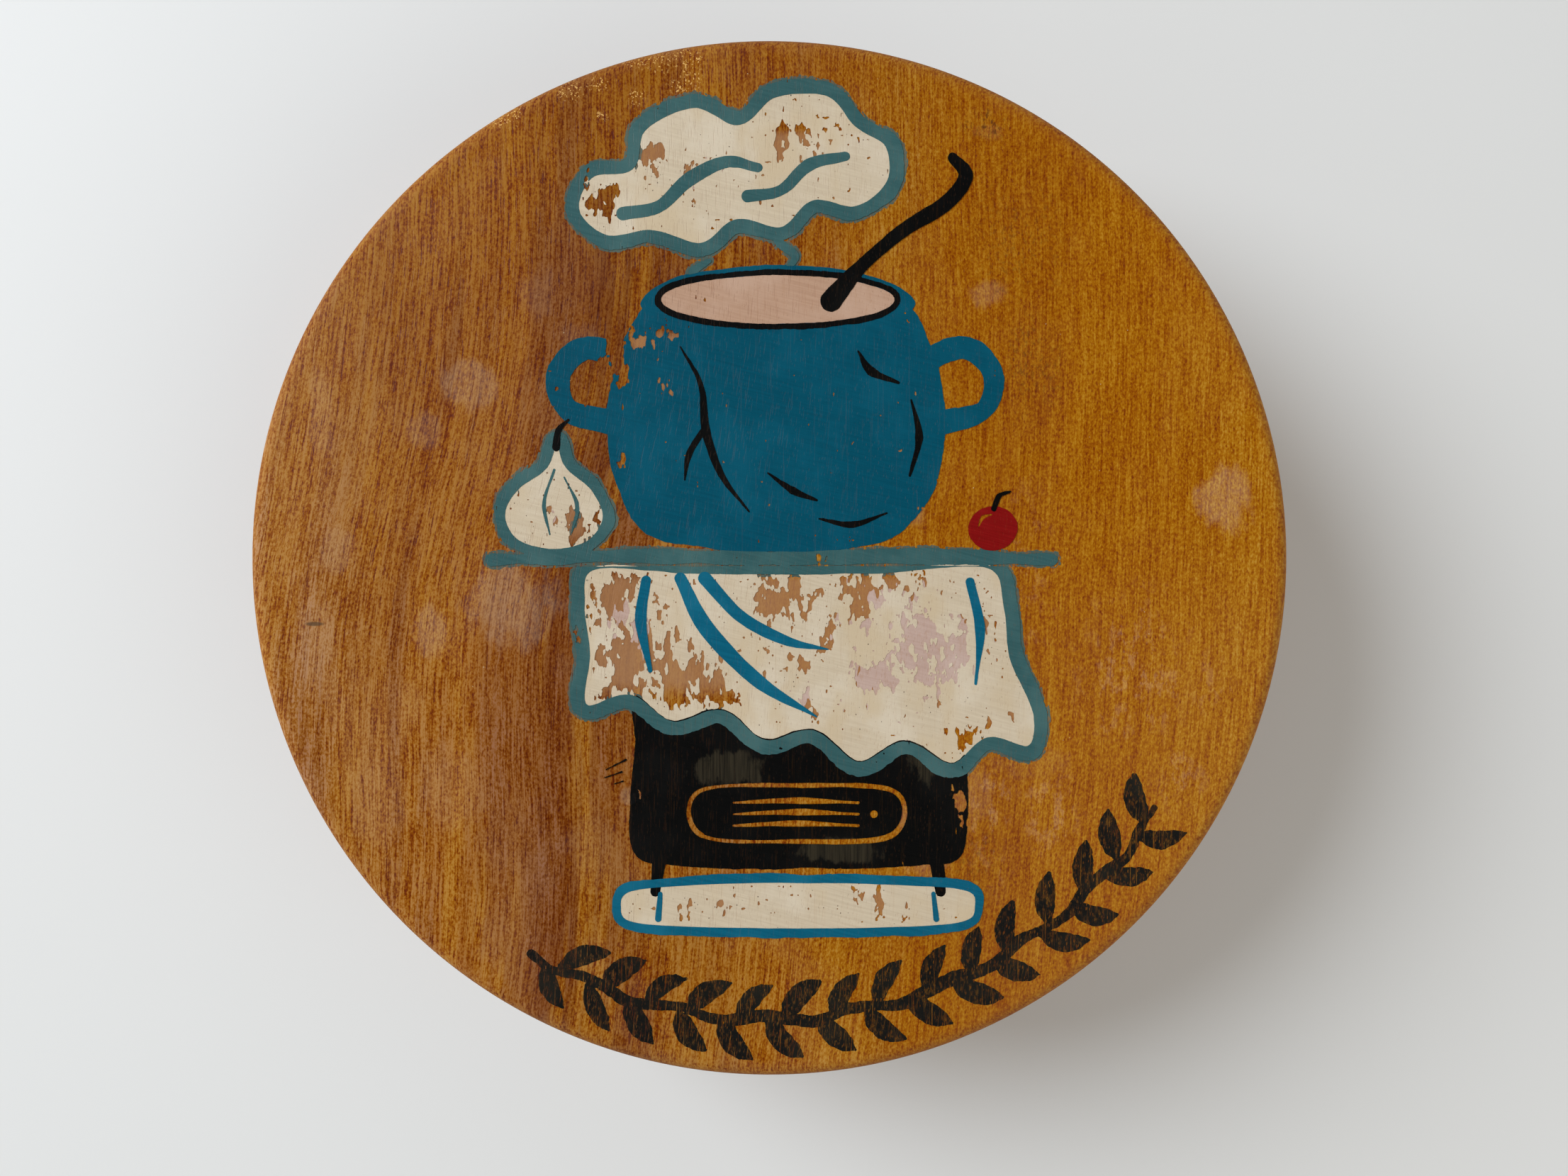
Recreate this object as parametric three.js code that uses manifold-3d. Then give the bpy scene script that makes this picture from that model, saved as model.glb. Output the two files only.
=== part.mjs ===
// Round wooden patty press for hamburger patties.
//
// The base is a turned board with a thick ring glued and screwed on it, so
// that the two make a round, flat-bottomed well. The lid is a second turned
// board with a smaller pressing disc glued and screwed under it. The disc
// drops into the well and flattens the meat; the lid stops on the ring, so
// every patty comes out the same thickness. The lid is loose and lifts off.
//
// Millimetres, +Z up. The origin is the centre of the base's underside, the
// boards' grain runs along Y, and the press is closed.

import * as THREE from 'three';
import { mergeVertices } from 'three/addons/utils/BufferGeometryUtils.js';
import Module from 'manifold-3d';

// ---------------------------------------------------------------- dimensions
const PRESS_R = 73.0;          // outside radius of every board: 146 mm, 5 3/4 in
const GLUE_GAP = 0.3;          // between pieces that touch

const BASE_T = 11.0;           // base board, thickness
const RING_T = 18.0;           // well ring, thickness
const LID_T = 12.0;            // lid board, thickness
const PLATE_T = 5.5;           // pressing disc, thickness

const WELL_R = 54.5;           // inside radius of the well
const PLATE_R = 52.0;          // pressing disc, 2.5 mm clear all round

const EDGE_TOP = 2.3;          // roundover of the lid's face
const EDGE_FOOT = 2.0;         // roundover under the base
const EDGE_JOINT = 1.1;        // eased edges where boards meet
const EDGE_WELL = 1.4;         // lead-in at the mouth of the well
const EDGE_PLATE = 1.2;        // pressing disc's lower edge
const EDGE_PLATE_BACK = 0.4;   // pressing disc's upper edge

const BASE_SCREW = { length: 22.0, head: 4.1, shank: 2.1, slot: 1.1 };   // No. 8 x 7/8 in
const PLATE_SCREW = { length: 12.7, head: 3.4, shank: 1.75, slot: 0.9 }; // No. 6 x 1/2 in
const SCREW_CLEAR = 0.3;       // wood to screw
const SCREW_SUNK = 0.35;       // heads below the wood's surface
const BASE_SCREW_R = 63.5;     // radius of the base screws' circle
const PLATE_SCREW_R = 33.0;    // radius of the disc screws' circle
const BASE_SCREW_TURN = [17, 112, 63, 148];    // how each slot was left, degrees
const PLATE_SCREW_TURN = [71, 8, 129, 40];

const SEG = 72;                // steps round a board
const SCREW_SEG = 16;          // steps round a screw

// Heights, from the bench up.
const BASE_TOP = BASE_T;
const RING_LOW = BASE_TOP + GLUE_GAP;
const RING_TOP = RING_LOW + RING_T;
const LID_LOW = RING_TOP + GLUE_GAP;
const LID_TOP = LID_LOW + LID_T;
const PLATE_TOP = LID_LOW - GLUE_GAP;
const PLATE_LOW = PLATE_TOP - PLATE_T;

// ---------------------------------------------------------------- helpers
const wasm = await Module();
wasm.setup();

// A quarter round from angle a0 to a1 (degrees) about (cr, cz).
function arc(cr, cz, r, a0, a1, steps = 4) {
  const out = [];
  for (let i = 0; i <= steps; i++) {
    const a = THREE.MathUtils.degToRad(a0 + ((a1 - a0) * i) / steps);
    out.push([cr + r * Math.cos(a), cz + r * Math.sin(a)]);
  }
  return out;
}

// Turns a closed or axis-to-axis (radius, height) profile about Z.
function turned(profile, seg) {
  const pts = profile.map(([r, z]) => new THREE.Vector2(Math.max(r, 0), z));
  const g = new THREE.LatheGeometry(pts, seg);
  g.rotateX(Math.PI / 2);
  return g;
}

function toSolid(geometry) {
  const g = geometry.clone();
  g.deleteAttribute('normal');
  g.deleteAttribute('uv');
  const m = mergeVertices(g, 1e-4);
  const idx = m.index.array;
  const tris = [];
  for (let i = 0; i < idx.length; i += 3) {
    const [a, b, c] = [idx[i], idx[i + 1], idx[i + 2]];
    if (a !== b && b !== c && c !== a) tris.push(a, b, c);
  }
  const verts = new Float32Array(m.attributes.position.array);
  let vol = 0;
  const p = (i) => new THREE.Vector3(verts[3 * i], verts[3 * i + 1], verts[3 * i + 2]);
  for (let i = 0; i < tris.length; i += 3) {
    vol += p(tris[i]).dot(p(tris[i + 1]).cross(p(tris[i + 2])));
  }
  if (vol < 0) {
    for (let i = 0; i < tris.length; i += 3) {
      [tris[i + 1], tris[i + 2]] = [tris[i + 2], tris[i + 1]];
    }
  }
  return new wasm.Manifold(
    new wasm.Mesh({ numProp: 3, vertProperties: verts, triVerts: new Uint32Array(tris) }),
  );
}

function toGeometry(solid) {
  const mesh = solid.getMesh();
  const g = new THREE.BufferGeometry();
  const n = mesh.numProp;
  const count = mesh.vertProperties.length / n;
  const pos = new Float32Array(count * 3);
  for (let i = 0; i < count; i++) {
    pos[3 * i] = mesh.vertProperties[n * i];
    pos[3 * i + 1] = mesh.vertProperties[n * i + 1];
    pos[3 * i + 2] = mesh.vertProperties[n * i + 2];
  }
  g.setAttribute('position', new THREE.BufferAttribute(pos, 3));
  g.setIndex(new THREE.BufferAttribute(new Uint32Array(mesh.triVerts), 1));
  g.computeVertexNormals();
  return g;
}

// Head down, point up, the head's face at height 0.
function screwProfile(s, grow = 0) {
  const coneH = (s.head - s.shank) / Math.tan(THREE.MathUtils.degToRad(41));
  const land = 0.35;
  const g = grow;
  const tip = 3.0;
  return [
    [0, g > 0 ? -3 : 0],
    [s.head + g, g > 0 ? -3 : 0],
    [s.head + g, land],
    [s.shank + g, land + coneH],
    [s.shank + g, s.length - tip],
    [0.45 + g, s.length + g * 0.6],
    [0, s.length + g],
  ];
}

function screwGeometry(s, turnDeg) {
  const body = toSolid(turned(screwProfile(s), SCREW_SEG));
  const slot = new THREE.BoxGeometry(3 * s.head, s.slot, 1.9);
  slot.rotateZ(THREE.MathUtils.degToRad(turnDeg));
  return toGeometry(body.subtract(toSolid(slot)));
}

function screwHole(s, x, y, z) {
  const g = turned(screwProfile(s, SCREW_CLEAR), SCREW_SEG);
  g.translate(x, y, z);
  return toSolid(g);
}

// ---------------------------------------------------------------- materials
const lacquered = new THREE.MeshStandardMaterial({ color: 0xa9702e, roughness: 0.38, metalness: 0 });
const bareWood = new THREE.MeshStandardMaterial({ color: 0xbf8f55, roughness: 0.62, metalness: 0 });
const brass = new THREE.MeshStandardMaterial({ color: 0xb08d4a, roughness: 0.35, metalness: 1 });

const press = new THREE.Group();

function add(name, geometry, material, x = 0, y = 0, z = 0) {
  const mesh = new THREE.Mesh(geometry, material);
  mesh.name = name;
  mesh.position.set(x, y, z);
  press.add(mesh);
}

// Four places on a circle, at 45 degrees to the grain.
const spots = (r) => [45, 135, 225, 315].map((d) => {
  const a = THREE.MathUtils.degToRad(d);
  return [r * Math.cos(a), r * Math.sin(a)];
});
const BASE_SPOTS = spots(BASE_SCREW_R);
const PLATE_SPOTS = spots(PLATE_SCREW_R);

// ---------------------------------------------------------------- base board
{
  let board = toSolid(turned([
    [0, 0],
    ...arc(PRESS_R - EDGE_FOOT, EDGE_FOOT, EDGE_FOOT, -90, 0),
    ...arc(PRESS_R - EDGE_JOINT, BASE_TOP - EDGE_JOINT, EDGE_JOINT, 0, 90, 3),
    [0, BASE_TOP],
  ], SEG));
  for (const [x, y] of BASE_SPOTS) {
    board = board.subtract(screwHole(BASE_SCREW, x, y, SCREW_SUNK));
  }
  add('base_board', toGeometry(board), lacquered);
}

// ---------------------------------------------------------------- well ring
{
  const profile = [
    [WELL_R, RING_LOW],
    ...arc(PRESS_R - EDGE_JOINT, RING_LOW + EDGE_JOINT, EDGE_JOINT, -90, 0, 3),
    ...arc(PRESS_R - EDGE_JOINT, RING_TOP - EDGE_JOINT, EDGE_JOINT, 0, 90, 3),
    ...arc(WELL_R + EDGE_WELL, RING_TOP - EDGE_WELL, EDGE_WELL, 90, 180, 3),
    [WELL_R, RING_LOW],
  ];
  let ring = toSolid(turned(profile, SEG));
  for (const [x, y] of BASE_SPOTS) {
    ring = ring.subtract(screwHole(BASE_SCREW, x, y, SCREW_SUNK));
  }
  add('well_ring', toGeometry(ring), lacquered);
}

// ---------------------------------------------------------------- lid board
{
  let lid = toSolid(turned([
    [0, LID_LOW],
    ...arc(PRESS_R - EDGE_JOINT, LID_LOW + EDGE_JOINT, EDGE_JOINT, -90, 0, 3),
    ...arc(PRESS_R - EDGE_TOP, LID_TOP - EDGE_TOP, EDGE_TOP, 0, 90),
    [0, LID_TOP],
  ], SEG));
  for (const [x, y] of PLATE_SPOTS) {
    lid = lid.subtract(screwHole(PLATE_SCREW, x, y, PLATE_LOW + SCREW_SUNK));
  }
  add('lid_board', toGeometry(lid), lacquered);
}

// ---------------------------------------------------------------- pressing disc
{
  let plate = toSolid(turned([
    [0, PLATE_LOW],
    ...arc(PLATE_R - EDGE_PLATE, PLATE_LOW + EDGE_PLATE, EDGE_PLATE, -90, 0, 3),
    ...arc(PLATE_R - EDGE_PLATE_BACK, PLATE_TOP - EDGE_PLATE_BACK, EDGE_PLATE_BACK, 0, 90, 1),
    [0, PLATE_TOP],
  ], SEG));
  for (const [x, y] of PLATE_SPOTS) {
    plate = plate.subtract(screwHole(PLATE_SCREW, x, y, PLATE_LOW + SCREW_SUNK));
  }
  add('press_plate', toGeometry(plate), bareWood);
}

// ---------------------------------------------------------------- screws
BASE_SPOTS.forEach(([x, y], i) => {
  add(`base_screw_${i + 1}`, screwGeometry(BASE_SCREW, BASE_SCREW_TURN[i]), brass, x, y, SCREW_SUNK);
});
PLATE_SPOTS.forEach(([x, y], i) => {
  add(`plate_screw_${i + 1}`, screwGeometry(PLATE_SCREW, PLATE_SCREW_TURN[i]), brass, x, y, PLATE_LOW + SCREW_SUNK);
});

export default press;
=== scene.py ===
import math

import bmesh
import bpy
import numpy as np
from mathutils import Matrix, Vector
from mathutils.geometry import delaunay_2d_cdt


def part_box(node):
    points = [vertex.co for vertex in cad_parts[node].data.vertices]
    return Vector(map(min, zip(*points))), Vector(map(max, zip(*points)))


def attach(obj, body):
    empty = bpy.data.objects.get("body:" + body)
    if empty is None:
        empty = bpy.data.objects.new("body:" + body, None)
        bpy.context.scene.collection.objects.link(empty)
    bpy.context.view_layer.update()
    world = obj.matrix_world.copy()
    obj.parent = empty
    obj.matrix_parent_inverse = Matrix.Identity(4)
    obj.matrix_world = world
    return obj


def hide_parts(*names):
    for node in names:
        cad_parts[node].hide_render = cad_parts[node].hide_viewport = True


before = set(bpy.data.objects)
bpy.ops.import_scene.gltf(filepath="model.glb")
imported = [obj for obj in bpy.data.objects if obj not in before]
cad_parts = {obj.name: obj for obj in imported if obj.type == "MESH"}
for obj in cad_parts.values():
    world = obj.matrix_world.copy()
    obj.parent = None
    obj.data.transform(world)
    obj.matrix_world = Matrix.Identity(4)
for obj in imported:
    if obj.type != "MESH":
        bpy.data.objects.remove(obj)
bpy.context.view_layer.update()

MM = 0.001

# ------------------------------------------------------------------ sizes, all from the frame
lid_lo, lid_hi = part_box("lid_board")
ring_lo, ring_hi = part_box("well_ring")
base_lo, base_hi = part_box("base_board")
plate_lo, plate_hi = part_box("press_plate")
PRESS_R = lid_hi.x / MM
LID_TOP, LID_LOW = lid_hi.z / MM, lid_lo.z / MM
RING_TOP, RING_LOW = ring_hi.z / MM, ring_lo.z / MM
BASE_TOP, BASE_LOW = base_hi.z / MM, base_lo.z / MM
PLATE_TOP, PLATE_LOW = plate_hi.z / MM, plate_lo.z / MM
PLATE_R = plate_hi.x / MM
WELL_R = 54.5
EDGE_TOP = 2.3


# ------------------------------------------------------------------ the lid's face: nearly flat, never quite
_rng = np.random.default_rng(7)
_WAVES = [
    (0.020 / (1 + 0.35 * k), _rng.uniform(0.05, 0.20), _rng.uniform(0, math.tau), _rng.uniform(0, math.tau))
    for k in range(7)
]
# x, y, radius, depth, raised lip (mm): dents and one small crater
DENTS = [
    (-19.3, -33.2, 1.15, 0.16, 0.05),
    (30.4, 60.0, 0.9, 0.05, 0.0),
    (-52.0, 31.5, 0.8, 0.05, 0.0),
    (44.6, -16.4, 0.7, 0.06, 0.0),
    (-41.8, -47.6, 0.9, 0.06, 0.0),
    (55.5, 27.0, 0.6, 0.05, 0.0),
    (10.0, 71.2, 0.7, 0.18, 0.0),
    (-12.5, 70.6, 0.9, 0.10, 0.0),
    (0.6, 71.1, 0.45, 0.22, 0.0),
    (-62.5, -33.0, 0.9, 0.10, 0.0),
    (66.0, -26.5, 0.8, 0.09, 0.0),
    (24.5, -67.0, 0.8, 0.10, 0.0),
]


def face_height(x, y):
    """How far the worn face stands from flat, in mm, at x and y in mm."""
    x, y = np.asarray(x, float), np.asarray(y, float)
    h = np.zeros(np.broadcast(x, y).shape)
    for amp, freq, turn, phase in _WAVES:
        h = h + amp * np.cos(freq * (x * math.cos(turn) + y * math.sin(turn)) + phase)
    for cx, cy, r, depth, lip in DENTS:
        d2 = ((x - cx) ** 2 + (y - cy) ** 2) / (r * r)
        h = h - depth * np.exp(-d2 * 2.2)
        if lip:
            h = h + lip * np.exp(-((np.sqrt(d2) - 1.15) ** 2) * 18)
    return h - 0.03


# ------------------------------------------------------------------ mesh helpers
def new_object(name, verts, faces, smooth=None):
    mesh = bpy.data.meshes.new(name)
    mesh.from_pydata([tuple(v) for v in np.asarray(verts, float) * MM], [], [list(map(int, f)) for f in faces])
    mesh.validate()
    mesh.update()
    obj = bpy.data.objects.new(name, mesh)
    bpy.context.scene.collection.objects.link(obj)
    if smooth is not None:
        mesh.shade_smooth()
        mesh.set_sharp_from_angle(angle=math.radians(smooth))
    return obj


def lathe_arrays(profile, seg, wobble=None):
    """Rings of a (radius, height) profile about Z. A radius of 0 becomes one pole."""
    verts, rings = [], []
    ang = np.arange(seg) * (math.tau / seg)
    cs, sn = np.cos(ang), np.sin(ang)
    for r, z in profile:
        if r < 1e-6:
            rings.append([len(verts)])
            verts.append((0.0, 0.0, z))
        else:
            start = len(verts)
            rr = r if wobble is None else r + wobble(ang, r, z)
            for k in range(seg):
                rk = rr if np.isscalar(rr) else rr[k]
                verts.append((rk * cs[k], rk * sn[k], z))
            rings.append(list(range(start, start + seg)))
    return verts, rings


def lathe_faces(rings, seg, closed=False):
    faces = []
    pairs = list(zip(rings[:-1], rings[1:]))
    if closed:
        pairs.append((rings[-1], rings[0]))
    for a, b in pairs:
        if len(a) == 1 and len(b) == 1:
            continue
        for k in range(seg):
            n = (k + 1) % seg
            if len(a) == 1:
                faces.append((a[0], b[n], b[k]))
            elif len(b) == 1:
                faces.append((a[k], a[n], b[0]))
            else:
                faces.append((a[k], a[n], b[n], b[k]))
    return faces


def arc(cr, cz, r, a0, a1, steps):
    out = []
    for i in range(steps + 1):
        a = math.radians(a0 + (a1 - a0) * i / steps)
        out.append((cr + r * math.cos(a), cz + r * math.sin(a)))
    return out


def spans(r0, r1, z, step):
    """Extra rings across a flat face, the ends left out."""
    n = max(1, int(abs(r1 - r0) / step))
    return [(r0 + (r1 - r0) * i / n, z) for i in range(1, n)]


def side(r, z0, z1, n):
    return [(r, z0 + (z1 - z0) * i / n) for i in range(1, n)]


def apply_modifiers(obj):
    dg = bpy.context.evaluated_depsgraph_get()
    mesh = bpy.data.meshes.new_from_object(obj.evaluated_get(dg))
    old = obj.data
    obj.modifiers.clear()
    obj.data = mesh
    bpy.data.meshes.remove(old)


def cut(obj, cutters):
    for c in cutters:
        m = obj.modifiers.new("cut", "BOOLEAN")
        m.operation, m.solver, m.object = "DIFFERENCE", "EXACT", c
    apply_modifiers(obj)
    for c in cutters:
        bpy.data.objects.remove(c)


def resmooth(obj, angle):
    obj.data.shade_smooth()
    obj.data.set_sharp_from_angle(angle=math.radians(angle))


def turned_wobble(amount, seed):
    """A board that has dried a little out of round, with small flats and nicks on its rim."""
    rng = np.random.default_rng(seed)
    terms = [(rng.uniform(0.2, 1.0) / (n ** 1.2), n, rng.uniform(0, math.tau)) for n in range(2, 13)]
    norm = sum(a for a, _, _ in terms)

    def f(ang, r, z):
        if r < 20:
            return 0.0
        s = sum(a * np.cos(n * ang + p) for a, n, p in terms) / norm
        return -amount * (1 + s) / 2 * (r / PRESS_R)

    return f


# ------------------------------------------------------------------ node helpers
class Tree:
    def __init__(self, tree):
        self.t, self.n, self.l = tree, tree.nodes, tree.links

    def put(self, socket, value):
        if isinstance(value, bpy.types.NodeSocket):
            self.l.new(value, socket)
        elif isinstance(value, (tuple, list)) and socket.type == "RGBA":
            socket.default_value = (*value[:3], 1.0)
        else:
            socket.default_value = value

    def math(self, op, a, b=None, c=None, clamp=False):
        n = self.n.new("ShaderNodeMath")
        n.operation, n.use_clamp = op, clamp
        for i, v in enumerate((a, b, c)):
            if v is not None:
                self.put(n.inputs[i], v)
        return n.outputs[0]

    def add(self, a, b):
        return self.math("ADD", a, b)

    def sub(self, a, b):
        return self.math("SUBTRACT", a, b)

    def mul(self, a, b, clamp=False):
        return self.math("MULTIPLY", a, b, clamp=clamp)

    def step(self, v, lo, hi, out0=0.0, out1=1.0):
        """Smooth step from out0 at lo to out1 at hi."""
        n = self.n.new("ShaderNodeMapRange")
        n.interpolation_type = "SMOOTHSTEP"
        for k, x in zip(("Value", "From Min", "From Max", "To Min", "To Max"), (v, lo, hi, out0, out1)):
            self.put(n.inputs[k], x)
        return n.outputs["Result"]

    def lerp(self, v, lo, hi, out0=0.0, out1=1.0):
        n = self.n.new("ShaderNodeMapRange")
        for k, x in zip(("Value", "From Min", "From Max", "To Min", "To Max"), (v, lo, hi, out0, out1)):
            self.put(n.inputs[k], x)
        return n.outputs["Result"]

    def mix(self, f, a, b, blend="MIX"):
        n = self.n.new("ShaderNodeMix")
        n.data_type, n.blend_type = "RGBA", blend
        n.clamp_factor = True
        self.put(n.inputs["Factor"], f)
        self.put([s for s in n.inputs if s.name == "A" and s.type == "RGBA"][0], a)
        self.put([s for s in n.inputs if s.name == "B" and s.type == "RGBA"][0], b)
        return [s for s in n.outputs if s.type == "RGBA"][0]

    def mixf(self, f, a, b):
        n = self.n.new("ShaderNodeMix")
        n.data_type = "FLOAT"
        n.clamp_factor = True
        self.put(n.inputs["Factor"], f)
        self.put([s for s in n.inputs if s.name == "A" and s.type == "VALUE"][0], a)
        self.put([s for s in n.inputs if s.name == "B" and s.type == "VALUE"][0], b)
        return [s for s in n.outputs if s.type == "VALUE"][0]

    def combine(self, x, y, z):
        n = self.n.new("ShaderNodeCombineXYZ")
        for i, v in enumerate((x, y, z)):
            self.put(n.inputs[i], v)
        return n.outputs[0]

    def separate(self, v):
        n = self.n.new("ShaderNodeSeparateXYZ")
        self.put(n.inputs[0], v)
        return n.outputs

    def vmul(self, v, s):
        n = self.n.new("ShaderNodeVectorMath")
        n.operation = "MULTIPLY"
        self.put(n.inputs[0], v)
        n.inputs[1].default_value = s
        return n.outputs[0]

    def vadd(self, v, s):
        n = self.n.new("ShaderNodeVectorMath")
        n.operation = "ADD"
        self.put(n.inputs[0], v)
        self.put(n.inputs[1], s)
        return n.outputs[0]

    def noise(self, v, scale=1.0, detail=2.0, rough=0.5, distortion=0.0, lac=2.0):
        n = self.n.new("ShaderNodeTexNoise")
        self.put(n.inputs["Vector"], v)
        n.inputs["Scale"].default_value = scale
        n.inputs["Detail"].default_value = detail
        n.inputs["Roughness"].default_value = rough
        n.inputs["Lacunarity"].default_value = lac
        n.inputs["Distortion"].default_value = distortion
        return n.outputs["Fac"]

    def voronoi(self, v, scale=1.0, feature="F1", rand=1.0):
        n = self.n.new("ShaderNodeTexVoronoi")
        n.feature = feature
        self.put(n.inputs["Vector"], v)
        n.inputs["Scale"].default_value = scale
        n.inputs["Randomness"].default_value = rand
        return n.outputs["Distance"]

    def spot(self, x, y, cx, cy, rx, ry, warp, soft=0.35):
        """A blotch with a ragged edge: 1 inside, 0 outside."""
        dx = self.mul(self.sub(x, cx), 1.0 / rx)
        dy = self.mul(self.sub(y, cy), 1.0 / ry)
        d = self.math("SQRT", self.add(self.mul(dx, dx), self.mul(dy, dy)))
        return self.step(self.add(d, warp), 1.0 - soft, 1.0 + soft * 0.4, 1.0, 0.0)


# Broad tone of the lid's board from left to right, along the bent grain: mm from the middle, then colour.
TONES = [
    (-70, (0.336, 0.1267, 0.0200)), (-61, (0.300, 0.1050, 0.0120)), (-55, (0.283, 0.0923, 0.0072)), (-47, (0.300, 0.0986, 0.0072)),
    (-40, (0.277, 0.0851, 0.0064)), (-33, (0.227, 0.0661, 0.0056)), (-27, (0.164, 0.0408, 0.0038)), (-20, (0.206, 0.0584, 0.0044)),
    (-9, (0.256, 0.0791, 0.0044)), (1, (0.304, 0.0982, 0.0036)), (9, (0.344, 0.1193, 0.0028)), (20, (0.330, 0.1053, 0.0011)),
    (30, (0.317, 0.0949, 0.0006)), (40, (0.353, 0.1147, 0.0010)), (52, (0.363, 0.1194, 0.0011)), (64, (0.380, 0.1335, 0.0019)),
]


def wood_group():
    """Solid figured hardwood under amber lacquer, in object space, grain along Y.

    Inputs: Offset moves to another piece of the plank; Face is 1 on the painted board; Wear is the share of rubbed-off lacquer.
    Outputs: Color, Roughness, Height in mm."""
    g = bpy.data.node_groups.new("lacquered_wood", "ShaderNodeTree")
    for name, kind in (("Offset", "NodeSocketVector"), ("Face", "NodeSocketFloat"), ("Wear", "NodeSocketFloat")):
        g.interface.new_socket(name, in_out="INPUT", socket_type=kind)
    for name, kind in (("Color", "NodeSocketColor"), ("Roughness", "NodeSocketFloat"), ("Height", "NodeSocketFloat"), ("Pores", "NodeSocketFloat")):
        g.interface.new_socket(name, in_out="OUTPUT", socket_type=kind)
    t = Tree(g)
    gi = t.n.new("NodeGroupInput")
    go = t.n.new("NodeGroupOutput")
    tc = t.n.new("ShaderNodeTexCoord")
    p = t.vmul(tc.outputs["Object"], (1000, 1000, 1000))
    x0, y0, z0 = t.separate(p)
    face, wear = gi.outputs["Face"], gi.outputs["Wear"]

    # The grain's sweep: it pinches together below the middle and opens out upwards.
    right = t.mul(t.mul(t.add(y0, 20.0), t.add(y0, 20.0)), 0.0017)
    left = t.mul(t.math("SINE", t.mul(t.add(y0, 5.0), math.tau / 140)), 4.4)
    side_of = t.step(x0, -22.0, 34.0)
    sweep = t.mixf(side_of, left, right)
    wander = t.mul(t.sub(t.noise(t.vmul(p, (0.03, 0.022, 0.03)), detail=1.0), 0.5), 2.2)
    ripple = t.mul(t.sub(t.noise(t.vmul(p, (0.16, 0.09, 0.12)), detail=1.0), 0.5), 0.55)
    u = t.add(t.add(t.sub(x0, sweep), wander), ripple)
    fine_r = t.sub(t.mul(y0, 0.045), t.mul(t.mul(y0, y0), 0.0005))
    fine_l = t.add(t.mul(y0, 0.10), t.add(t.mul(t.math("SINE", t.mul(t.sub(y0, 12.0), math.tau / 95)), 1.51), 2.0))
    # Growth layers slant down through the thickness, steeper to one side, so the end grain shows arcs.
    depth = t.sub(z0, 41.6)
    lean = t.mul(depth, t.add(0.45, t.mul(x0, 0.012)))
    v = t.add(t.add(t.sub(x0, t.mixf(side_of, fine_l, fine_r)), lean), t.add(wander, ripple))
    q = t.vadd(t.combine(v, y0, z0), gi.outputs["Offset"])
    qb = t.vadd(t.combine(v, y0, t.add(t.mul(depth, 0.15), 41.6)), gi.outputs["Offset"])

    geo = t.n.new("ShaderNodeNewGeometry")
    n_obj = t.n.new("ShaderNodeVectorTransform")
    n_obj.vector_type, n_obj.convert_from, n_obj.convert_to = "NORMAL", "WORLD", "OBJECT"
    t.put(n_obj.inputs[0], geo.outputs["True Normal"])
    normal = t.separate(n_obj.outputs[0])
    end = t.step(t.math("ABSOLUTE", normal[1]), 0.45, 0.95)
    flat = t.step(t.math("ABSOLUTE", normal[2]), 0.06, 0.34)

    # Broad tone across the board.
    n_big = t.noise(t.vmul(qb, (0.050, 0.006, 0.03)), detail=2.0, rough=0.55)
    blur = t.mul(t.sub(t.noise(t.vmul(t.vadd(qb, (17.0, 0.0, 0.0)), (0.30, 0.035, 0.2)), detail=3.0, rough=0.6), 0.5), 15.0)
    pos = t.mixf(face, t.lerp(n_big, 0.25, 0.75, -72.0, 72.0), t.add(u, blur))
    ramp = t.n.new("ShaderNodeValToRGB")
    ramp.color_ramp.interpolation = "EASE"
    el = ramp.color_ramp.elements
    while len(el) < len(TONES):
        el.new(0.5)
    for e, (mm, c) in zip(el, TONES):
        e.position = (mm + 73) / 146
    for e, (mm, c) in zip(el, TONES):
        e.color = (*c, 1.0)
    t.put(ramp.inputs[0], t.lerp(pos, -73.0, 73.0))
    color = t.mix(t.mul(t.sub(1.0, face), 0.5), ramp.outputs[0], (0.300, 0.098, 0.0040))
    leftness = t.step(t.add(pos, t.mul(t.sub(n_big, 0.5), 24.0)), 24.0, -20.0)

    # Slow blotches of gold and of red-brown.
    hue_n = t.noise(t.vmul(t.vadd(qb, (5.0, 19.0, 2.0)), (0.19, 0.013, 0.15)), detail=4.0, rough=0.62)
    gold = t.mul(t.step(hue_n, 0.49, 0.62), leftness)
    color = t.mix(t.mul(gold, 0.62), color, (0.345, 0.120, 0.0050))
    upper = t.mul(t.mul(t.step(t.add(y0, t.mul(t.sub(n_big, 0.5), 30.0)), 34.0, 58.0), t.step(x0, 14.0, -12.0)), face)
    color = t.mix(t.mul(upper, 0.60), color, (0.352, 0.122, 0.0040))
    red = t.mul(t.step(hue_n, 0.47, 0.35), leftness)
    color = t.mix(t.mul(red, 0.62), color, (0.215, 0.066, 0.0110))

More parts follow.
